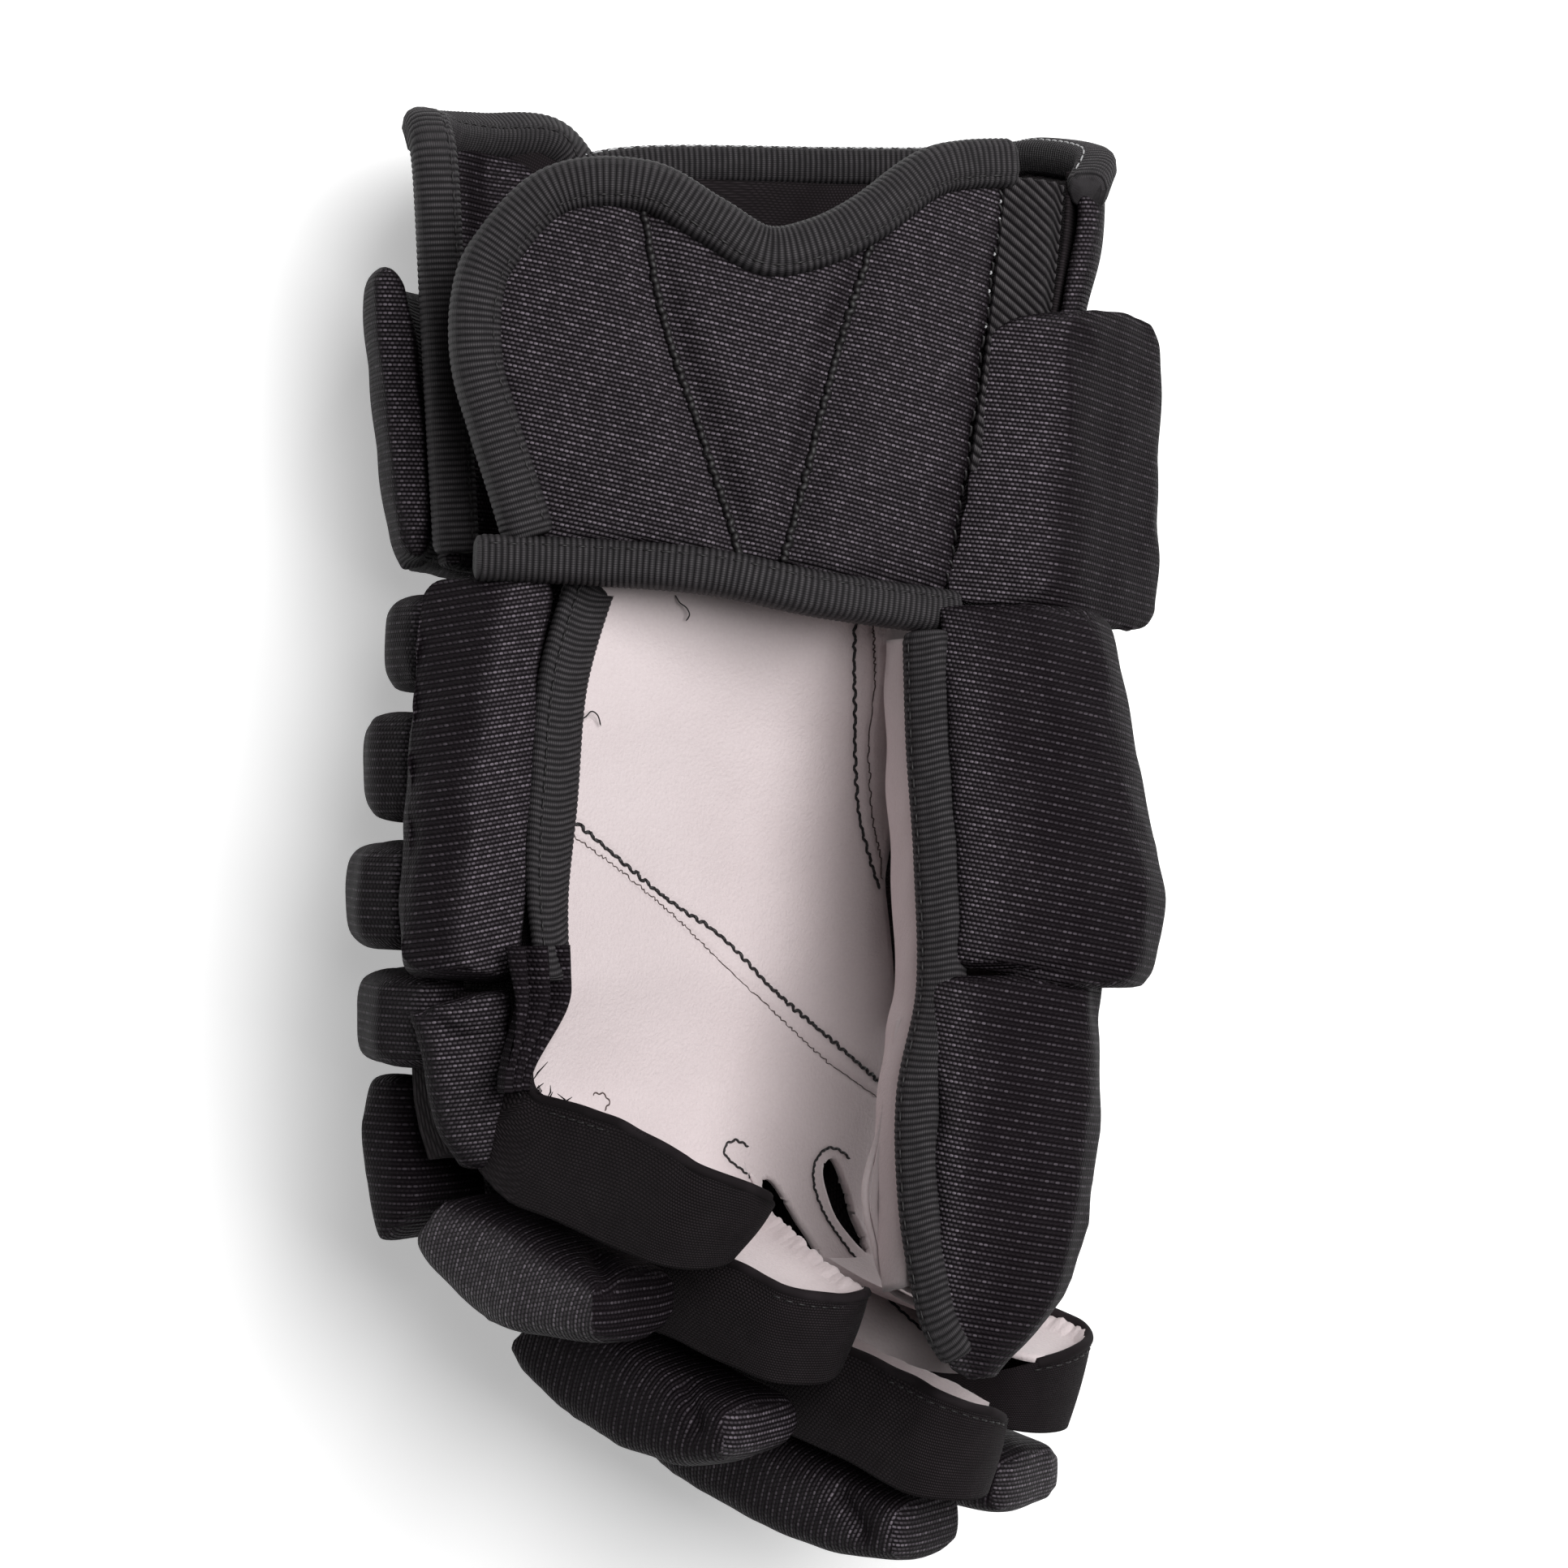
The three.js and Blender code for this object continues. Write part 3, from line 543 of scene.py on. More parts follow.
def suede_finish(name):
    """Suede: a short nap with fine grain, mottled a little darker in random patches and by its grain."""
    finish, tree, shader = new_finish(name, SUEDE, 0.92, gloss=0.2)
    grain = cloud(tree, 1500.0, 4.0)
    patch = work_out("SUBTRACT", times(cloud(tree, 32.0, 5.0), 0.7), 0.3)
    share = work_out("MAXIMUM", plus(times(grain, 0.55), patch), 0.0)
    blend_colours(shader, work_out("MINIMUM", 1.0, share), SUEDE, SUEDE_DARKER)
    shader.inputs["Sheen Weight"].default_value = 0.3
    shader.inputs["Sheen Roughness"].default_value = 0.4
    raise_surface(shader, plus(grain, cloud(tree, 260.0, 3.0)), 0.18 * MM)
    return finish


def inside(outline, u, y):
    """True where (u, y) lies in a closed outline."""
    hit = np.zeros(u.shape, bool)
    for (ua, ya), (ub, yb) in zip(outline, np.roll(outline, -1, axis=0)):
        crosses = (ya > y) != (yb > y)
        hit ^= crosses & (u < (ub - ua) * (y - ya) / (yb - ya + 1e-12) + ua)
    return hit


def rounded_outline(points):
    closed = np.vstack([points[-1:], points, points[:2]])
    count = len(points)
    return through(closed, np.linspace(1 / (count + 2), (count + 1) / (count + 2), 60 * count))


def palm_height(u, y):
    left, right, low, middle, high = at_height(PALM, y)
    s = np.clip((u - left) / (right - left), 0, 1)
    return lerp(lerp(low, middle, s), lerp(middle, high, s), s)


def on_palm(uy, lift=0.0):
    u, y = np.moveaxis(np.asarray(uy, float), -1, 0)
    return in_hand(y, u, palm_height(u, y) + LEATHER_THICK / 2 + lift)


def thread_mesh(name, strands, radius, finish, sides=6):
    """Many strands of thread as one mesh. Each strand is a list of points in metres."""
    turn = np.linspace(0, 2 * np.pi, sides, endpoint=False)
    points, faces = [], []
    for strand in strands:
        strand = np.asarray(strand, float)
        ahead = unit(np.gradient(strand, axis=0))
        level = unit(np.cross(ahead, [0.13, 0.21, 0.97]))
        up = np.cross(level, ahead)
        first = len(points)
        for k, centre in enumerate(strand):
            width = radius * (0.35 if k in (0, len(strand) - 1) else 1.0)
            points.extend(centre + width * (np.cos(turn)[:, None] * level[k] + np.sin(turn)[:, None] * up[k]))
        for k in range(len(strand) - 1):
            for q in range(sides):
                a, b = first + k * sides + q, first + k * sides + (q + 1) % sides
                faces.append((b, a, a + sides, b + sides))
        last = first + (len(strand) - 1) * sides
        faces.append(tuple(first + q for q in range(sides)))
        faces.append(tuple(last + q for q in reversed(range(sides))))
    mesh = bpy.data.meshes.new(name)
    mesh.from_pydata([tuple(p) for p in points], [], faces)
    mesh.shade_smooth()
    mesh.materials.append(finish)
    threads = put_in(name, mesh)
    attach(threads, "root")


def on_top_of(piece, points):
    """Nearest places on a piece and the directions out of it there."""
    tree = BVHTree.FromPolygons([v.co for v in piece.data.vertices],
                                [p.vertices for p in piece.data.polygons])
    found = [tree.find_nearest(Vector(p)) for p in points]
    return np.array([f[0] for f in found]), np.array([f[1] for f in found])


def sew(name, piece, points, length, gap, radius, finish, slant=0.0):
    """A row of stitches on a piece along points in millimetres."""
    place, out = on_top_of(piece, route_of(points, length + gap))
    strands = []
    for k in range(len(place) - 1):
        ahead = place[k + 1] - place[k]
        reach = ahead * length / (length + gap)
        sideways = np.cross(out[k], unit(ahead)) * slant * length * MM
        rise = np.array([-0.8, 0.55, 0.9, 0.55, -0.8]) * radius * MM
        share = np.array([0.0, 0.14, 0.5, 0.86, 1.0])
        strands.append([place[k] + reach * s + sideways * (2 * s - 1) + out[k] * h
                        for s, h in zip(share, rise)])
    thread_mesh(name, strands, radius * MM, finish)


def run_seam(name, piece, points, wave, period, radius, finish):
    """A tight seam whose stitches touch, so that it reads as one wavy line."""
    step = 0.35
    place, out = on_top_of(piece, route_of(points, step))
    at = np.arange(len(place)) * step
    side = np.cross(out, unit(np.gradient(place, axis=0)))
    sway = wave * np.sin(2 * np.pi * at / period) * (0.7 + 0.3 * np.sin(at * 0.37))
    lift = 0.35 * radius + 0.5 * radius * np.cos(2 * np.pi * at / period * 2)
    strand = place + (side * sway[:, None] + out * lift[:, None]) * MM
    thread_mesh(name, [strand], radius * MM, finish)


def thread_finish(name, colour):
    finish, tree, shader = new_finish(name, colour, 0.55)
    twist = cloud(tree, 900.0, 1.0)
    blend_colours(shader, twist, tuple(0.45 * c for c in colour), colour)
    raise_surface(shader, twist, 0.15 * MM)
    return finish


suede = suede_finish("pale_suede")
black_thread = thread_finish("black_thread", (0.011, 0.009, 0.010))
brown_thread = thread_finish("brown_thread", (0.10, 0.07, 0.065))

s, v = grid(160, 215)
y = lerp(PALM_TOP, np.interp(s, *np.array(PALM_END).T), v)
left_edge, right_edge = at_height(PALM, y)[:2]
cell = np.stack([lerp(left_edge, right_edge, s), y], -1)
in_slot = np.zeros((s.shape[0] - 1, s.shape[1] - 1), bool)
for outline in (INDEX_SLOT, RING_SLOT):
    slot_rim = rounded_outline(np.array(outline))[::4]
    gap = np.linalg.norm(cell[:, :, None] - slot_rim[None, None], axis=-1)
    near = gap.min(-1) < SNAP
    cell[near] = slot_rim[gap.argmin(-1)][near]
    middle = (cell[:-1, :-1] + cell[1:, 1:] + cell[1:, :-1] + cell[:-1, 1:]) / 4
    in_slot |= inside(slot_rim, middle[..., 0], middle[..., 1])
u, y = cell[..., 0], cell[..., 1]
points = in_hand(y, u, palm_height(u, y) + soft_ripple(np.stack([u, y, u + y], -1), 16, 0.5))
palm = cut_sheet("palm_suede", points, PALM_FLAT, LEATHER_THICK, suede, kept=~in_slot,
                 solid="palm_leather")

HEEL_SEAM = [[-40.5, -6.2], [-32.1, -11.8], [-23.4, -17.5], [-12.9, -24.2], [-2.3, -30.1], [11.2, -40.5],
             [26.6, -49.9], [49.3, -63.4]]
HEEL_EDGE = [[-40.6, -9.5], [-27.8, -16.6], [-13.2, -26.6], [1.6, -38.5], [16.7, -48.2], [32.7, -58.4],
             [49.8, -66.9]]
THUMB_SEAM = [[24.4, 35.5], [24.9, 32.8], [26.9, 22.6], [29.6, 12.2], [32.8, 1], [35.5, -7.4],
              [40.5, -16.8], [43.5, -22]]
THUMB_EDGE = [[28.5, 35.5], [28.9, 32.2], [32.2, 21.5], [33.8, 10.2], [36.4, 1], [39, -7.4], [43, -16],
              [44, -20]]
RING_LOOP = [[7.5, -74], [3.5, -72.5], [0.5, -73], [-0.5, -74.5], [1.5, -76.5], [6, -79], [8, -80.5]]
LITTLE_LOOP = [[-37.0, -61.0], [-35.5, -60.5], [-33.0, -61.5], [-33.0, -63.0], [-34.5, -64.0]]
INDEX_LOOP = [[41, -79], [37.5, -77], [33.5, -76.2], [30.5, -77.5], [29, -79.8], [29.3, -83.5], [31, -87],
              [34.5, -92.5], [37.5, -98], [40, -102], [41, -105], [45.5, -110.5], [49.5, -115.5]]
for points, depth, width in ((HEEL_SEAM, 0.5, 0.9), (HEEL_EDGE, 0.7, 0.6), (THUMB_SEAM, 0.4, 0.9),
                             (THUMB_EDGE, 0.7, 0.6)):
    draw_in(palm, on_palm(points), depth, width)
for name, points, *gauge in (
        # sway, length of a stitch, half the thread's width, thread
        ("heel_stitches", HEEL_SEAM, 0.38, 2.9, 0.36, black_thread),
        ("thumb_stitches", THUMB_SEAM, 0.3, 3.1, 0.34, black_thread),
        ("thumb_edge_stitches", THUMB_EDGE, 0.08, 6, 0.16, brown_thread),
        ("heel_edge_stitches", HEEL_EDGE, 0.08, 5, 0.11, brown_thread),
        ("ring_loop", RING_LOOP, 0.22, 2.6, 0.26, black_thread),
        ("little_loop", LITTLE_LOOP, 0.3, 2.4, 0.16, brown_thread),
        ("index_loop", INDEX_LOOP, 0.16, 2.8, 0.3, black_thread)):
    run_seam("palm_" + name, palm, on_palm(points), *gauge)

LOOSE_ENDS = [
    # across, height and lift above the palm along each thread end
    [[-14.5, 37.5, 0.4], [-14, 36, 1.6], [-12.8, 35, 2.2], [-12, 33.6, 1.8], [-12.6, 32.4, 1.2]],
    [[-38.5, 12.6, 0.4], [-37, 13, 1.8], [-35.6, 14.2, 2.4], [-34, 13.4, 2.0], [-33.2, 11.4, 1.4]]]
loose_ends = [route_of(on_palm(end[:, :2], lift=end[:, 2]), 0.4) for end in np.array(LOOSE_ENDS)]
thread_mesh("palm_loose_ends", loose_ends, 0.15 * MM, black_thread)

# The fingers, from the little one to the index. Each has a foam pad over the knuckle and one over the
# bent end, both in knit, a dark stretch gusset with a rolled hem round its sides and tip, and a strip
# of the palm's suede inside the bend.
FINGERS = {
    # middle across the hand, fold height, fold depth, reach past the fold, how far past a depth of 30
    # the pad ends, how far the back of the tip stops short
    "little": (-45, -56, 8, 49, 35, 6),
    "ring": (-17, -80, 9, 48, 42, 2),
    "middle": (11, -99, 9, 63, 56, 0),
    "index": (39, -90, 9, 63, 54, 0),
}
GUSSET_RIMS = {
    # how far the rim lies below the suede, from the little finger's side round the tip, and the part of
    # the rim that has a hem
    "little": ([0, -2, -4.5, -3, 0, 7, 12, 17, 19], (0.08, 0.54)),
    "ring": ([5, 2, -1, -1, -1, 1, 4, 4, 4], (0.08, 0.6)),
    "middle": ([3, 0, -3, -3, 0, 6, 9, 9, 9], (0.1, 0.54)),
    "index": ([19, 19, 15, 5, 0, -1, -1, 0, 0], (0.42, 0.84)),
}
TIP_PADS = {
    # how far the whole pad moves, how far more its end does, which side of its knit is painted lit, and
    # where its cover is drawn in
    "little": ((-1.5, -0.5, 0), (-3.5, 0.5, -2), (-0.75, 0, 0.65),
               [[-47.6, -90.2, 102.1], [-47.7, -92.2, 108], [-47.8, -94.2, 113.6]]),
    "ring": ((-2.0, -0.8, 0), (-2.5, 0, -2), (0.3, -0.2, 0.9),
             [[-27.9, -117.3, 93.4], [-28, -120.4, 98], [-27.8, -124.2, 100]]),
    "middle": ((2.5, 1.0, 0), (-1.5, 0, 0), (-0.1, -0.1, 1),
               [[4, -141, 89], [5.3, -143.8, 91.7], [7, -147.6, 94.1]]),
    "index": ((3.0, -2.0, 0), (3.5, -2.0, 0), (0.6, -0.2, 0.8), None),
}
SUEDE_STRIPS = {
    # near side, far side at seven places from the fold to the tip, how deep it is sunk, how far its far
    # side curls up, where it starts, how much deeper it starts
    "little": (-11, [13] * 7, 11.0, 0.0, -8.0, 3.0),
    "ring": (-11, [23, 26, 23, 18, 13, 10.5, 9.5], 2.2, 1.3, -8.0, 1.2),
    "middle": (-11, [14] * 7, 6.0, 0.0, 1.0, 3.0),
    "index": (-14, [12.4] * 7, 2.4, 1.8, 2.0, 5.0),
}
FINGER_LEAN = 17.6
FOLD = 4
SLEEVE_HALF = 12.4
SLEEVE_TIP = 0.16
SLEEVE_ROUND = 9
SLEEVE_FROM = -20
GUSSET_THICK = 1.5
GUSSET_DEEP = 0.022
HEM = 1.05


def in_finger(finger, a, q, b):
    """a runs along the finger from its fold to the tip, q across it, b from its palm side to its back."""
    middle, crease_y, crease_w = FINGERS[finger][:3]
    a, q, b = matched(a, q, b)
    bend = np.radians(90 - FINGER_LEAN)
    radius = 2 * FOLD / bend
    angle = bend * np.clip((a + FOLD) / (2 * FOLD), 0, 1)
    straight = np.where(a > FOLD, a - FOLD, np.minimum(0, a + FOLD))
    y = crease_y - radius * np.sin(angle) - straight * np.cos(angle) - b * np.sin(angle)
    w = crease_w - 2 + radius * (1 - np.cos(angle)) + straight * np.sin(angle) - b * np.cos(angle)
    return turned(y, middle + q, w, *HAND[-1][1:])


def gusset_at(finger, s, v):
    """s runs from the little finger's side round the tip to the thumb's side, v down into the finger."""
    reach, slant = FINGERS[finger][3], FINGERS[finger][5]
    angle = np.clip((s - 0.5) / SLEEVE_TIP, -1, 1) * np.pi / 2
    straight = np.maximum(0, np.abs(s - 0.5) - SLEEVE_TIP) / (0.5 - SLEEVE_TIP)
    tip = reach - SLEEVE_ROUND * (1 - np.cos(angle)) - slant * v
    a = lerp(tip, SLEEVE_FROM, straight)
    deep = np.where(a < 0, 29, 21 - 3 * (1 - straight))
    belly = 1 + 0.09 * np.sin(np.pi * v)
    rim = through(np.array(GUSSET_RIMS[finger][0])[:, None], s)[..., 0]
    return in_finger(finger, a, SLEEVE_HALF * np.sin(angle) * belly, lerp(rim, deep, v))


def shifted_pad(finger, p):
    """The whole tip pad moves a little, and its end moves more."""
    whole, end = TIP_PADS[finger][:2]
    past = (p - in_finger(finger, 0, 0, 30)) @ tip_way / FINGERS[finger][4]
    return p + whole + soft_step(0.3, 1.0, past)[:, None] * end


palm_turn = np.radians(HAND[-1][3])
palm_way = np.array([np.sin(palm_turn), 0, np.cos(palm_turn)])
tip_way = unit(in_finger("ring", 30, 0, 0) - in_finger("ring", 20, 0, 0))
back_of_tip = unit(in_finger("ring", 30, 0, 10) - in_finger("ring", 30, 0, 0))
gusset_cloth = twill_finish("gusset_cloth")
for finger, (middle, _, _, reach, _, slant) in FINGERS.items():
    stuff(finger + "_knuckle_pad", facing=-palm_way, painted_lit_side=-palm_way,
          eased=lambda p: p + (finger == "little") * soft_step(-66, -84, p[:, 1:2]) * [0.5, -5.5, 0])
    painted_lit_side, pinch = TIP_PADS[finger][2:]
    stuff(finger + "_tip_pad", rows_along=tip_way, facing=back_of_tip, grain=2.2 * MM,
          eased=lambda p: shifted_pad(finger, p), painted_lit_side=painted_lit_side,
          seams=[(pinch, 1.5, 2.2)] if pinch else ())

    gusset_flat = ((2 * reach + 56) * MM, GUSSET_DEEP)
    s, v = grid(150, 30)
    points = gusset_at(finger, s, v)
    ripple = soft_ripple(points, 9, 0.8, turn=middle)[..., None]
    points += ripple * back_of_tip * (0.3 + 0.7 * v[..., None])
    gusset = cut_sheet(finger + "_gusset_cloth", points, gusset_flat, GUSSET_THICK, gusset_cloth,
                       solid=finger + "_gusset")
    hem_span = np.linspace(*GUSSET_RIMS[finger][1], 110)
    groove = gusset_at(finger, hem_span, 0.11)
    draw_in(gusset, groove, 0.45, 0.7)
    rim = gusset_at(finger, hem_span, 0.02)
    rim += soft_ripple(rim, 5, 0.25, turn=middle)[..., None] * back_of_tip
    thread_mesh(finger + "_gusset_hem", [in_metres(rim)], HEM * MM, gusset_cloth, sides=10)
    sew(finger + "_hem_stitches", gusset, groove, 1.7, 0.7, 0.2, black_thread)

    near_side, far_sides, sunk, curled_up, start, deeper = SUEDE_STRIPS[finger]
    strip_flat = ((np.mean(far_sides) - near_side) * MM, (reach + 5) * MM)
    s, v = grid(46, 96)
    a = lerp(start, reach - 1.8 - slant * sunk / 15, v)
    slant_end = reach - slant * sunk / 18
    room = (SLEEVE_HALF + 0.4) * np.sqrt(1 - np.clip(1 - (slant_end - a) / 10, 0, 1) ** 2)
    room = np.where(a < slant_end - 10, 40, room)
    far_side = through(np.array(far_sides, float)[:, None], v)[..., 0]
    wave = 0.3 * np.sin(a * 0.9) + 0.12 * np.sin(a * 2.3)
    far_side = np.minimum(far_side, room) + soft_step(10, 20, a) * wave
    depth = sunk * soft_step(-9, 8, a) + deeper * soft_step(start + 7, start, a)
    wave = 1 + 0.2 * np.sin(a * 1.1 + 1) + 0.12 * np.sin(a * 2.7)
    curl = curled_up * soft_step(0.82, 1.0, s) * wave
    cup = curl + 0.8 * (2 * s - 1) ** 2 + 0.5 * np.sin(a / 6 + middle + 2 * s)
    points = in_finger(finger, a, lerp(np.maximum(near_side, -room), far_side, s), depth - cup)
    cut_sheet(finger + "_suede", points, strip_flat, LEATHER_THICK, suede,
              solid=finger + "_leather")

# The raw top of the little finger's gusset is frayed beside the palm's tape: short ends of its dark
# thread stand out of the cut edge.
fray = []
for number, start in enumerate(gusset_at("little", np.linspace(0.05, 0.17, 16), 0.0)):
    away = np.array([np.sin(number * 2.4), 1.0 + 0.5 * np.sin(number * 1.3), 0.6 * np.cos(number * 1.9)])
    hook = np.array([np.cos(number * 3.1), 0.2, np.sin(number * 1.7)])
    length = 1.3 + 1.1 * np.sin(number * 2.9) ** 2
    fray.append(in_metres(np.stack([start, start + 0.5 * length * away, start + length * away + 0.8 * hook])))
thread_mesh("little_gusset_fray", fray, 0.17 * MM, gusset_cloth)

# Beside the ring finger the palm's raw cut edge has curled up into a thin wavy line. It is the same
# pale suede, seen from its edge.
CURLED_EDGE = [[7.8, -79.5], [10, -82.6], [13, -86.4], [17.2, -90.8], [21, -95.5]]
curled = route_of(on_palm(CURLED_EDGE, lift=0.3), 0.5)
curled += soft_ripple(curled, 4 * MM, 0.25 * MM)[:, None] * np.array([1, 0, 0.4])
thread_mesh("ring_raw_edge", [curled], 0.5 * MM, suede, sides=8)

# Beside the little finger's base pad a spare fold of dark knit is tucked against the palm's edge. It is
# what is left over of the pad's cover.
LITTLE_FOLD_FLAT = (0.030, 0.028)
FOLD_TOP, FOLD_LOW = -31.0, -58.5
FOLD_THICK = 1.6
s, v = grid(56, 44)
y = lerp(FOLD_TOP, FOLD_LOW, v)
u = lerp(-61.5 - 5 * soft_step(0.3, 1, v), -47.0 - 12 * soft_step(0.3, 1, v), s)
w = lerp(26.0, 17.5, v) + 2.6 * np.sin(s * 15 + 1.5 * v) * (1 - 0.4 * v) - 2.5 * s
cut_sheet("little_side_fold", in_hand(y, u, w), LITTLE_FOLD_FLAT, FOLD_THICK, knit)

# The thumb: a thick foam pad round its base and one round its end, both in knit, a suede inside with
# raw layered edges, and a cloth gusset down to the shell.
THUMB = [
    # height, middle across, middle depth, half width, half depth
    [31, 37, 82, 20, 20], [5, 38, 85, 21.5, 21], [-22, 40.5, 90, 24, 22], [-42, 38.5, 95, 23, 21],
    [-48, 32, 97, 19.5, 19.5], [-70, 28, 103, 19, 19], [-90, 25, 109, 17.5, 17],
    [-104, 22, 113, 14, 13.5], [-113, 20, 116, 7, 7]]
THUMB_SQUARE = 2.8
THUMB_SUEDE_FLAT = (0.052, 0.129)
THUMB_SUEDE_TOP, THUMB_SUEDE_LOW = 29.0, -99.0
THUMB_SUEDE_ROUND = (150.0, 292.0)
THUMB_GUSSET_FLAT = (0.026, 0.081)
THUMB_GUSSET_TOP, THUMB_GUSSET_LOW = 31.0, -50.0


def on_thumb(y, angle, out):
    cx, cz, rx, rz = at_height(THUMB, y)
    c, s = squared(np.radians(angle), THUMB_SQUARE)
    y, c, s, out = matched(y, c, s, out)
    return np.stack([cx + (rx + out) * c, y, cz + (rz + out) * s], -1)


s, v = grid(44, 112)
y = lerp(THUMB_SUEDE_TOP, THUMB_SUEDE_LOW + 3 * soft_step(0.4, 0, s), v)
points = on_thumb(y, lerp(*THUMB_SUEDE_ROUND, s), -1.0)
points[..., 0] += soft_ripple(points, 8, 0.6)
thumb_suede = cut_sheet("thumb_suede", points, THUMB_SUEDE_FLAT, LEATHER_THICK, suede,
                        solid="thumb_leather")

s, v = grid(26, 80)
y = lerp(THUMB_GUSSET_TOP, THUMB_GUSSET_LOW, v)
low_edge = in_hand(y, at_height(SHELL, y)[0] - 4, 17.0)
high_edge = on_thumb(y, 296.0, -7.0)
cut_sheet("thumb_side_gusset_cloth", lerp(low_edge, high_edge, s[..., None]), THUMB_GUSSET_FLAT,
          GUSSET_THICK, gusset_cloth, solid="thumb_side_gusset")

# The thumb suede's raw edges: two layers that lie one over the other along the tape, slightly wavy from
# the cut, with a row of black stitches beside them.
THUMB_EDGES = [
    [[13.6, -46, 99], [11.8, -58, 99.4], [9.3, -69.1, 99.5], [6.7, -77.7, 99.5], [7, -83.4, 99.5],
     [8.2, -89.6, 99.8], [10.6, -97.7, 100.3], [13.9, -100.6, 101.5], [18, -102, 104]],
    [[13.2, -57, 100.4], [11.5, -64.7, 100.8], [9.1, -72.7, 101], [7.9, -80, 101], [8.5, -86.4, 101],
     [10.4, -93.6, 101.3], [13.7, -98.2, 102.5], [17.5, -99.5, 105]]]
for number, points in enumerate(THUMB_EDGES):
    route = route_of(points, 0.6)
    route += soft_ripple(route, 5 * MM, 0.3 * MM, turn=number)[:, None] * np.array([1, 0, 0.3])
    thread_mesh(f"thumb_raw_edge_{number + 1}", [route], 0.8 * MM, suede, sides=8)
sew("thumb_edge_stitches", thumb_suede, np.array(THUMB_EDGES[1]) + [1.8, 0, 0.5], 1.5, 1.1, 0.22,
    black_thread)


def fold_of_base(p):
    """The lower edge of the base pad runs up to the tape, and its skirt turns in under itself."""
    low = soft_step(-20, -44, p[:, 1])
    p = p + low[:, None] * soft_step(46, 24, p[:, 0])[:, None] * [0, 5.0, 0]
    p = p + soft_step(18, 33, p[:, 1:2]) * [0, 4.5, -3]
    return p - low[:, None] * soft_step(70, 92, p[:, 2])[:, None] * [0.8, 0, 0]


def tucked_under(p):
    """The top of the tip pad is tucked up under the base pad, and its end is drawn to a blunt point."""
    narrow = 1 - 0.42 * soft_step(-98, -118, p[:, 1])
    p = np.stack([22 + (p[:, 0] - 22) * narrow, p[:, 1], p[:, 2]], 1)
    up = soft_step(-66, -46, p[:, 1])[:, None]
    return p + up * [-1.5, 7.0, -3.0] - up * soft_step(40, 60, p[:, 0])[:, None] * [2.5, 0, 0]


stuff("thumb_base_pad", rows_along=(0.2, 1, 0), facing=(-0.45, 0, 1), grain=2.4 * MM, eased=fold_of_base,
      painted_lit_side=(-1, 0.1, 0.8), seams=[([[24, -37, 116], [40, -36.5, 118], [54, -35, 112]], 1.1, 1.6)])
stuff("thumb_tip_pad", rows_along=(0.19, 1, 0), facing=(-0.45, 0, 1), grain=2.0 * MM, eased=tucked_under,
      painted_lit_side=(-1, 0.1, 0.8))

# The cuff: a curved foam wall behind the wrist and a flap on the little finger's side, both in knit,
# and a narrow ribbed gusset by the thumb. The panel over the wrist is quilted into three cushions by
# two stitched channels that spread towards the top.
CUFF_MIDDLE = (-5, 57)
CUFF_HALF = (66, 38)
PANEL = [
    # low edge, top edge and height, evenly spaced from the little finger's side to the thumb's
    [46, 105, 88], [45, 118, 91], [44, 114, 94], [42, 104, 96], [39, 109, 96], [37, 121, 93],
    [36, 124, 90]]
PANEL_SIDES = [
    # left and right side, evenly spaced from the low edge to the top
    [-57, 27], [-63, 32], [-68, 36], [-66, 39]]
LINING_FLAT = (0.195, 0.087)
CUFF_SQUARE = 3.4
LINING_SET_IN = 3.6
LINING_ROUND = (233, 388)
LINING_LOW, LINING_TOP = 44, 129.5
LINING_THICK = 1.0
CUFF_GUSSET_FLAT = (0.0165, 0.058)
CUFF_GUSSET_THICK = 1.6
GUSSET_RIB = 1.95


def tape_finish(name, ground, lit, pitch, slant=0.0):
    """Grosgrain: fat cross ribs of shiny thread on a dark ground, with a painted highlight on the rib tops.
    """
    finish, tree, shader = new_finish(name, ground, 0.6, gloss=0.16 - 0.1 * abs(slant))
    across, along = across_and_along(tree)
    rib = bow(work_out("DIVIDE", plus(along, times(across, slant)), pitch * MM))
    strand = bow(work_out("DIVIDE", across, 0.45 * MM))
    shine = plus(0.08, times(strand, cloud(tree, 420.0, 3.0)))
    share = times(work_out("POWER", rib, 2.0 + 3.0 * abs(slant)), shine)
    blend_colours(shader, share, ground, lit)
    raise_surface(shader, plus(rib, times(strand, 0.3)), 0.2 * MM)
    return finish


ribbed_cloth = tape_finish("ribbed_cloth", (0.005, 0.004, 0.0048), (0.125, 0.115, 0.12), GUSSET_RIB,
                           slant=0.6)


def on_panel(s, v):
    s, v = matched(s, v)
    edge = through(PANEL, s)
    side = through(PANEL_SIDES, v)
    return np.stack([lerp(side[..., 0], side[..., 1], s), lerp(edge[..., 0], edge[..., 1], v),
                     edge[..., 2]], -1)


def lower_at_thumb(p):
    """The back wall's top drops where it comes round to the thumb's side."""
    drop = soft_step(24, 56, p[:, 0]) * soft_step(70, 120, p[:, 1]) * soft_step(40, 70, p[:, 2])
    out = soft_step(40, 60, p[:, 0]) * soft_step(40, 70, p[:, 2])
    out = out * lerp(-2.6, 2.6, soft_step(92, 122, p[:, 1]))
    return p + drop[:, None] * [0, -4.5, 0] + out[:, None] * [1, 0, 0]


def up_to_binding(p):
    """At the thumb's side the wall's foam is pushed up into its binding."""
    push = soft_step(20, 50, p[:, 0]) * soft_step(100, 128, p[:, 1])
    return lower_at_thumb(p + push[:, None] * [0, 3.2, 0])


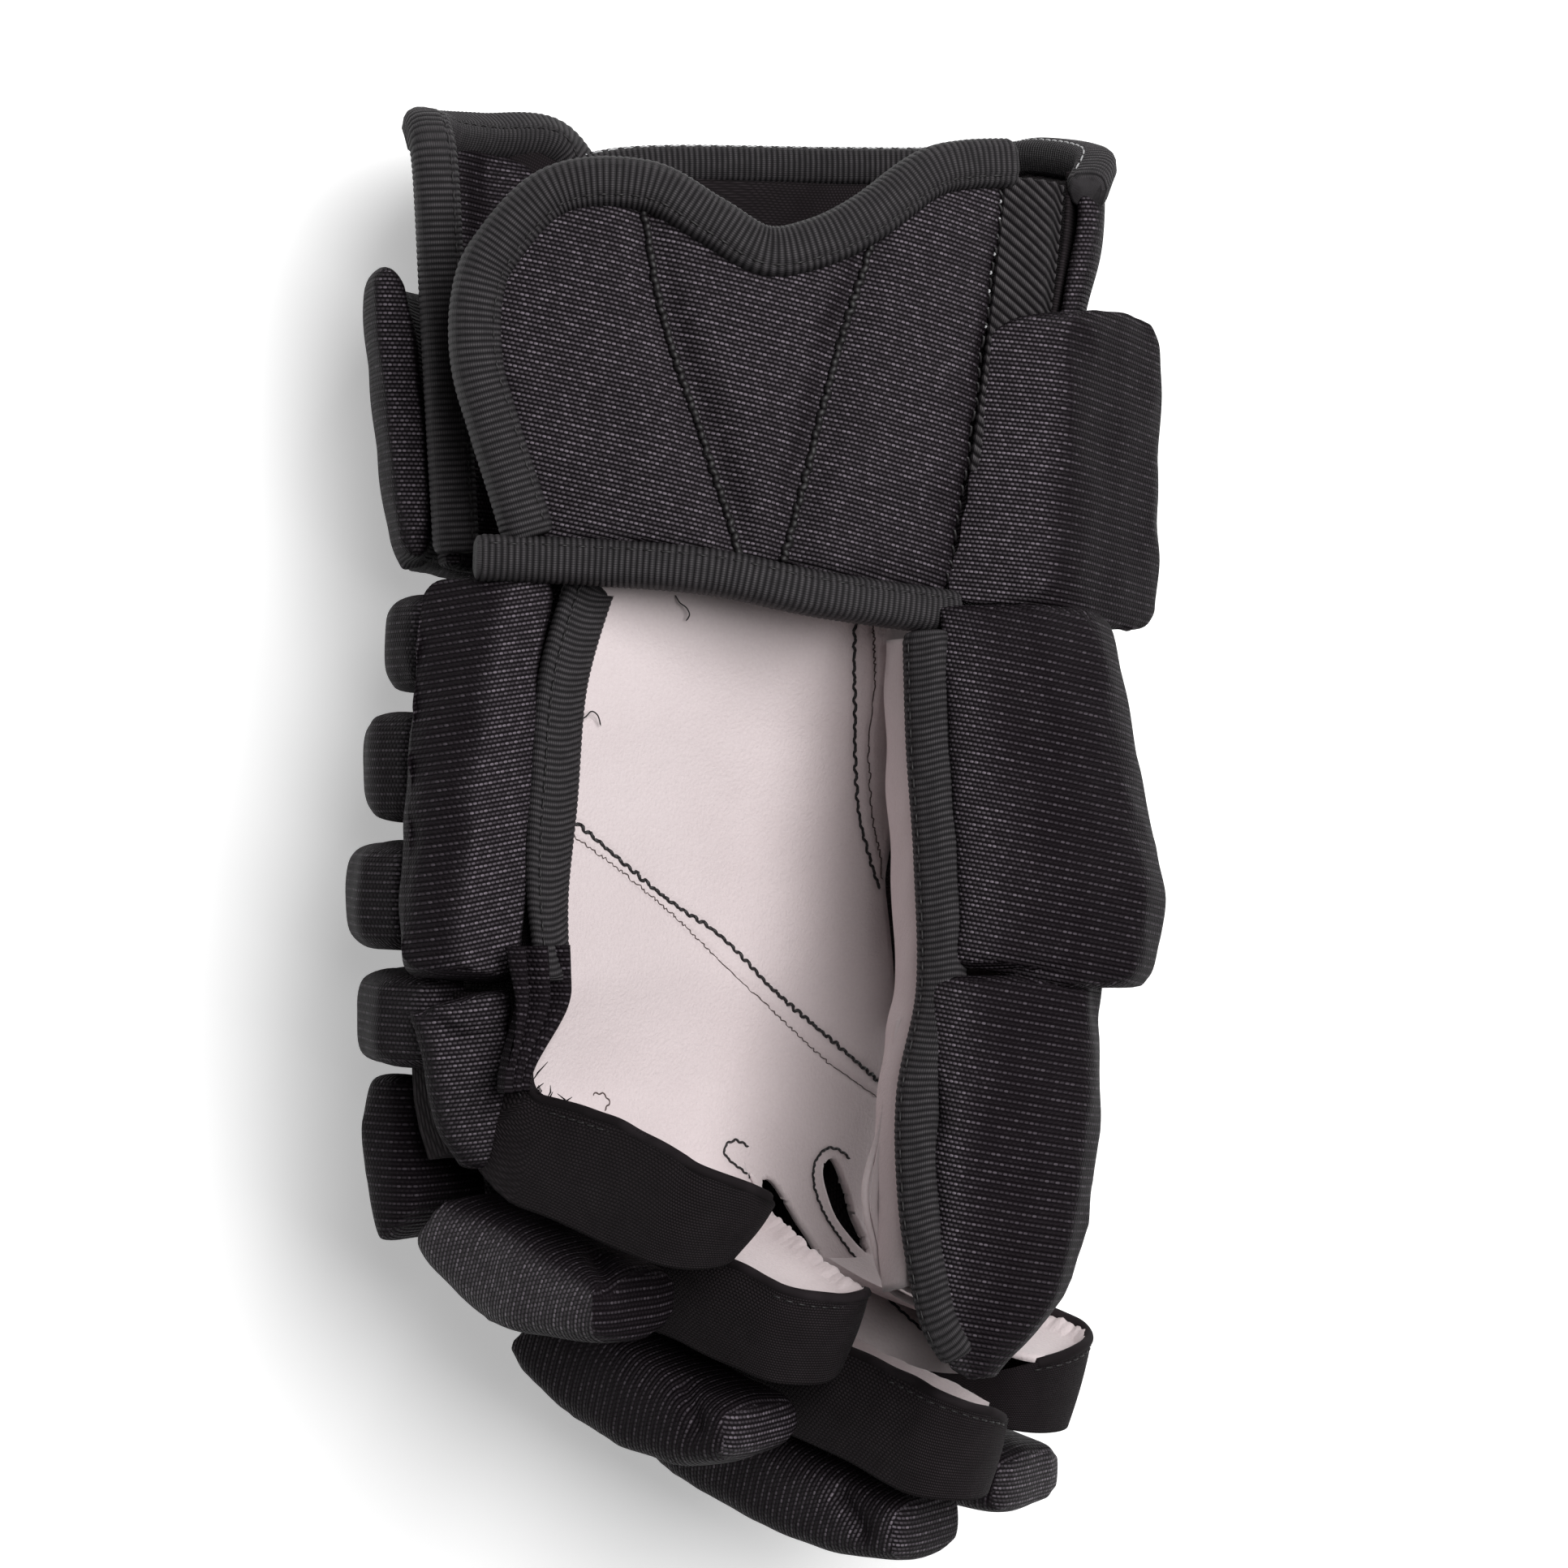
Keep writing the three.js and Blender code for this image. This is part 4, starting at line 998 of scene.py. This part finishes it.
def flared_flap(p):
    """The flap stands up past the panel, leans out, and its end lies over the back wall."""
    up = soft_step(60, 125, p[:, 1])
    end = soft_step(-58, -44, p[:, 0]) * soft_step(34, 22, p[:, 2])
    lean = 0.06 * (85 - p[:, 1])
    return p + up[:, None] * [0, 5.5, 0] + end[:, None] * [10, 0.5, -3] + lean[:, None] * [1, 0, 0]


stuff("cuff_back_wall", facing=(0, 0, 1), grain=2.4 * MM, puff=0.8, inset=0.5, eased=up_to_binding)
stuff("cuff_pinky_flap", facing=(1, 0, 0.3), grain=1.8 * MM, puff=0.8, inset=0.5, eased=flared_flap)
s, v = grid(90, 50)
c, d = squared(np.radians(lerp(*LINING_ROUND, s)), CUFF_SQUARE)
y = lerp(LINING_LOW, LINING_TOP + 6 * soft_step(0.16, 0, s), v)
points = np.stack([CUFF_MIDDLE[0] + (CUFF_HALF[0] - LINING_SET_IN) * c, y,
                   CUFF_MIDDLE[1] + (CUFF_HALF[1] - LINING_SET_IN) * d], -1)
points += soft_ripple(points, 11, 0.7)[..., None] * [0.3, 0, 1]
points = lower_at_thumb(points.reshape(-1, 3)).reshape(points.shape)
cut_sheet("cuff_lining", points, LINING_FLAT, LINING_THICK, lining)
up_panel = np.linspace(0.02, 0.97, 12)
channels = [on_panel(lerp(low, high, up_panel), up_panel) + [0, 0, 5]
            for low, high in ((0.47, 0.27), (0.56, 0.73))]
panel = stuff("cuff_palm_panel", rows_along=(0.24, 1, 0), grain=2.0 * MM, puff=2.6, inset=1.0, uneven=0.4,
              seams=[(points, depth, width) for points in channels
                     for depth, width in ((2.6, 4.0), (1.9, 1.2))])
for side, points in zip(("little_finger", "thumb"), channels):
    run_seam(f"panel_channel_stitches_{side}", panel, points - [0, 0, 2], 0.3, 3.0, 0.72, black_thread)

s, v = grid(44, 190)
points = on_panel(1.0, lerp(0.3, 0.97, v)) + np.stack([lerp(-1.5, 14, s), 0 * s, lerp(1.5, -6, s)], -1)
rib = np.sin(2 * np.pi * (58 * v + 9.9 * s) / GUSSET_RIB)
points[..., 2] += 0.13 * rib - 2.2 * np.exp(-((s - 0.93) / 0.12) ** 2) + 1.2 * np.sin(np.pi * s)
cut_sheet("cuff_side_gusset_cloth", points, CUFF_GUSSET_FLAT, CUFF_GUSSET_THICK, ribbed_cloth,
          solid="cuff_side_gusset")

# The cuff rolls: three thick foam bands in knit, wrapped round the outside of the cuff and sewn down
# along their edges. A row of black stitches holds the thumb's roll to the panel.


def to_roll_ridge(p):
    """The thumb's roll reaches to the panel's seam with a lit inner face. Beyond its ridge it falls away."""
    x, y, z = p.T
    panel_seam = 25.0 + (y - 36) / 6.6
    steps = np.arange(np.floor(y.min()), y.max() + 2, 2.0)
    end = [x[np.abs(y - step) < 2.5].min() if (np.abs(y - step) < 2.5).any() else 40.0 for step in steps]
    end = np.minimum(np.interp(y, steps, end), 47)
    x = np.where(x < 50, 50 - (50 - x) * (50 - panel_seam) / (50 - end), x)
    ridge = 46.5 + 0.05 * (y - 40)
    top = 97.5 - np.where(x < ridge, 0.36 * (ridge - x), 0.95 * (x - ridge))
    return np.stack([x + 1.2 * soft_step(60, 80, x), y, np.minimum(z, top)], 1)


def leaned_roll(p):
    return p * [1, 1.05, 1] + 0.12 * (78 - p[:, 1:2]) * [1, 0, 0] + [0, -3.8, 0]


stuff("cuff_roll_thumb", rows_along=(0.12, 1, 0), facing=(-0.45, 0, 1), grain=2.4 * MM, puff=1.2, inset=0.5,
      eased=to_roll_ridge, painted_lit_side=(-0.5, 0.1, 1))
stuff("cuff_roll_back", facing=(0, 0, -1))
stuff("cuff_roll_pinky", facing=(-1, 0, 0), eased=leaned_roll)
panel_seam = [on_panel(1.0, v) + [-0.6, 0, 3] for v in (0.04, 0.2, 0.4, 0.6, 0.8, 0.95)]
sew("panel_side_stitches", panel, panel_seam, 2.0, 1.0, 0.32, black_thread, slant=0.4)
pale_thread = thread_finish("worn_thread", (0.55, 0.55, 0.56))
worn_seam = [on_panel(1.0, v) + [-0.8, 0, 3.5] for v in (0.62, 0.75, 0.95)]
sew("panel_worn_stitches", panel, worn_seam, 0.55, 2.9, 0.24, pale_thread)

# The bindings: ribbed tape folded over every raw edge, with one row of stitches near its inner edge.
TAPE_RIB = 1.22
TAPE_SEAM = 0.29
TAPE_BLACK = (0.013, 0.012, 0.013)
TAPE_LIT = (0.082, 0.075, 0.080)
BACK_EDGE_ROUND = (246, 390)
BACK_EDGE_TOP = 134
FLAP = [
    # across, depth, top, evenly spaced from the palm side round to the back
    [-71, 64, 123], [-70.5, 52, 127], [-65, 39, 128.5], [-55, 29, 130], [-47, 23.5, 130.5], [-40, 20, 120]]


def bind_edge(node, points, width, thick, facing, stitch_side, ribs=0.16, slant=0.0, narrow_end=1.0,
              pale=False):
    """Tape folded over an edge. stitch_side is 1 or -1, the side of the route with its stitches. slant
    skews the ribs, and narrow_end is the tape's width at the end of its route, as a share."""
    quarter = TAPE_RIB / 4
    line = route_of(points, quarter)
    count = len(line)
    ahead = unit(np.gradient(line, axis=0))
    facing = np.asarray(facing, float)
    up = unit(facing - (ahead @ facing)[:, None] * ahead)
    side = np.cross(ahead, up) * stitch_side
    spread = np.array([-0.5, -0.48, -0.42, -0.3, -0.15, 0, 0.12, 0.22, 0.27, 0.31, 0.36, 0.43, 0.48, 0.5])
    over = (1 - np.abs(2 * spread) ** 3) ** (1 / 3) * 0.5
    groove = 0.4 / thick * np.exp(-((spread - TAPE_SEAM) / 0.035) ** 2)
    profile = np.concatenate([np.stack([spread, over - groove], 1), np.stack([spread, -over], 1)[-3:1:-2]])
    ring = len(profile)
    steps = np.linalg.norm(np.diff(profile * [width, thick], axis=0), axis=1)
    turns = np.concatenate([[0], np.cumsum(steps)])
    grow = ribs * np.array([0.0, 0.7, 1.0, 0.7])[np.arange(count) % 4]
    from_end = np.minimum(np.arange(count), np.arange(count)[::-1]) * quarter
    near_end = np.clip(from_end / 2.0, 0, 1)
    close = 0.7 + 0.3 * np.sqrt(near_end * (2 - near_end))
    taper = lerp(1.0, narrow_end, soft_step(0.55, 1.0, np.linspace(0, 1, count)))
    close = close * taper
    size = (np.array([width, thick]) * close[:, None] + 2 * grow[:, None]) * MM
    shape = profile[None] * size[:, None]
    rings = line[:, None] + side[:, None] * shape[..., :1] + up[:, None] * shape[..., 1:]
    skew = slant * np.sin(np.pi * np.clip(profile[:, 0] + 0.5, 0, 1)) + slant * profile[:, 0] * 1.5
    rings += ahead[:, None] * skew[None, :, None] * MM * near_end[:, None, None]
    number = np.arange(count * ring).reshape(count, ring)
    around = np.roll(number, -1, axis=1)
    quads = np.stack([number[:-1], around[:-1], around[1:], number[1:]], -1).reshape(-1, 4)
    caps = [number[0, ::-1], number[-1]]
    if stitch_side < 0:
        quads = quads[:, ::-1]
        caps = [cap[::-1] for cap in caps]
    mesh = bpy.data.meshes.new(node + "_tape")
    mesh.from_pydata(rings.reshape(-1, 3).tolist(), [], quads.tolist() + [cap.tolist() for cap in caps])
    along = np.arange(count)[:, None] * quarter
    flat = np.stack(np.broadcast_arrays(turns[None], along), -1).reshape(-1, 2) * MM
    at = read_all(mesh.loops, "vertex_index", kind=int)
    mesh.uv_layers.new(name="cloth").data.foreach_set("uv", flat[at].ravel())
    mesh.shade_smooth()
    mesh.materials.append(tape)
    binding = put_in(node + "_tape", mesh)
    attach(binding, "root")
    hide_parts(node)
    seam = line + (side * TAPE_SEAM * width + up * (0.45 * thick - 0.1)) * taper[:, None] * MM
    rise = np.array([-0.2, 0.1, 0.2, 0.1, -0.2])[:, None] * MM
    strands = [seam[[k, k + 1, k + 4, k + 7, k + 8]] + up[k] * rise for k in range(8, count - 14, 11)]
    thread_mesh(node + "_stitches", strands, 0.2 * MM, pale_thread if pale else black_thread)


def on_flap(s, v):
    x, z, top = through(FLAP, s)
    return flared_flap(np.array([[x, lerp(43, top, v), z]]))[0]


tape = tape_finish("ribbed_tape", TAPE_BLACK, TAPE_LIT, TAPE_RIB)
left_side = [on_panel(0.0, v) + [-1, 0, 0] for v in (0.03, 0.2, 0.4, 0.6, 0.8)]
top_side = [on_panel(s, 1.0) for s in (0.12, 0.28, 0.4, 0.5, 0.6, 0.7, 0.82, 0.9, 1)]
bind_edge("panel_top_binding", left_side + [on_panel(0.01, 0.96)] + top_side, 10, 11.5, (0, 0, 1), 1)
bind_edge("panel_lower_binding", [
    on_panel(max(0.0, s), 0.0) + [-12.0 if s < 0 else 0.0, -2, 0] for s in (-0.08, 0.15, 0.4, 0.65, 1)],
    9, 11.5, (0, 0, 1), -1)
back_edge = []
for s in np.linspace(0, 1, 9):
    c, d = squared(np.radians(lerp(*BACK_EDGE_ROUND, s)), CUFF_SQUARE)
    top = BACK_EDGE_TOP - (7 if s < 0.5 else 9) * abs(2 * s - 1) ** 5
    back_edge.append([CUFF_MIDDLE[0] + CUFF_HALF[0] * c, top, CUFF_MIDDLE[1] + CUFF_HALF[1] * d])
bind_edge("cuff_back_binding", lower_at_thumb(np.array(back_edge)), 8.5, 8.0, (0, 1, 0), 1, pale=True)
bind_edge("pinky_flap_binding",
          [on_flap(0.0, v) for v in (0.04, 0.35, 0.65, 0.92)]
          + [on_flap(s, 1) for s in (0.08, 0.2, 0.4, 0.6, 0.8, 1)],
          9, 9, (0, 0.7, 0.7), 1)
bind_edge("palm_binding_pinky", [in_hand(40, -31.5, 27)]
          + [in_hand(row[0], row[1] - 3.4, row[3] + 1.5) for row in PALM[:5]],
          10.4, 5, (0.3, 0, 1), 1, slant=1.3, narrow_end=0.68)
THUMB_TAPE = [
    # height and angle round the thumb
    (30, 141), (8, 141), (-15, 141), (-40, 141), (-60, 140), (-78, 136), (-92, 127), (-102, 115), (-108, 98)]
bind_edge("thumb_binding", [on_thumb(float(y), angle, 0.0) for y, angle in THUMB_TAPE],
          9.5, 9, (-0.6, 0, 0.8), 1, slant=0.5, narrow_end=0.8)
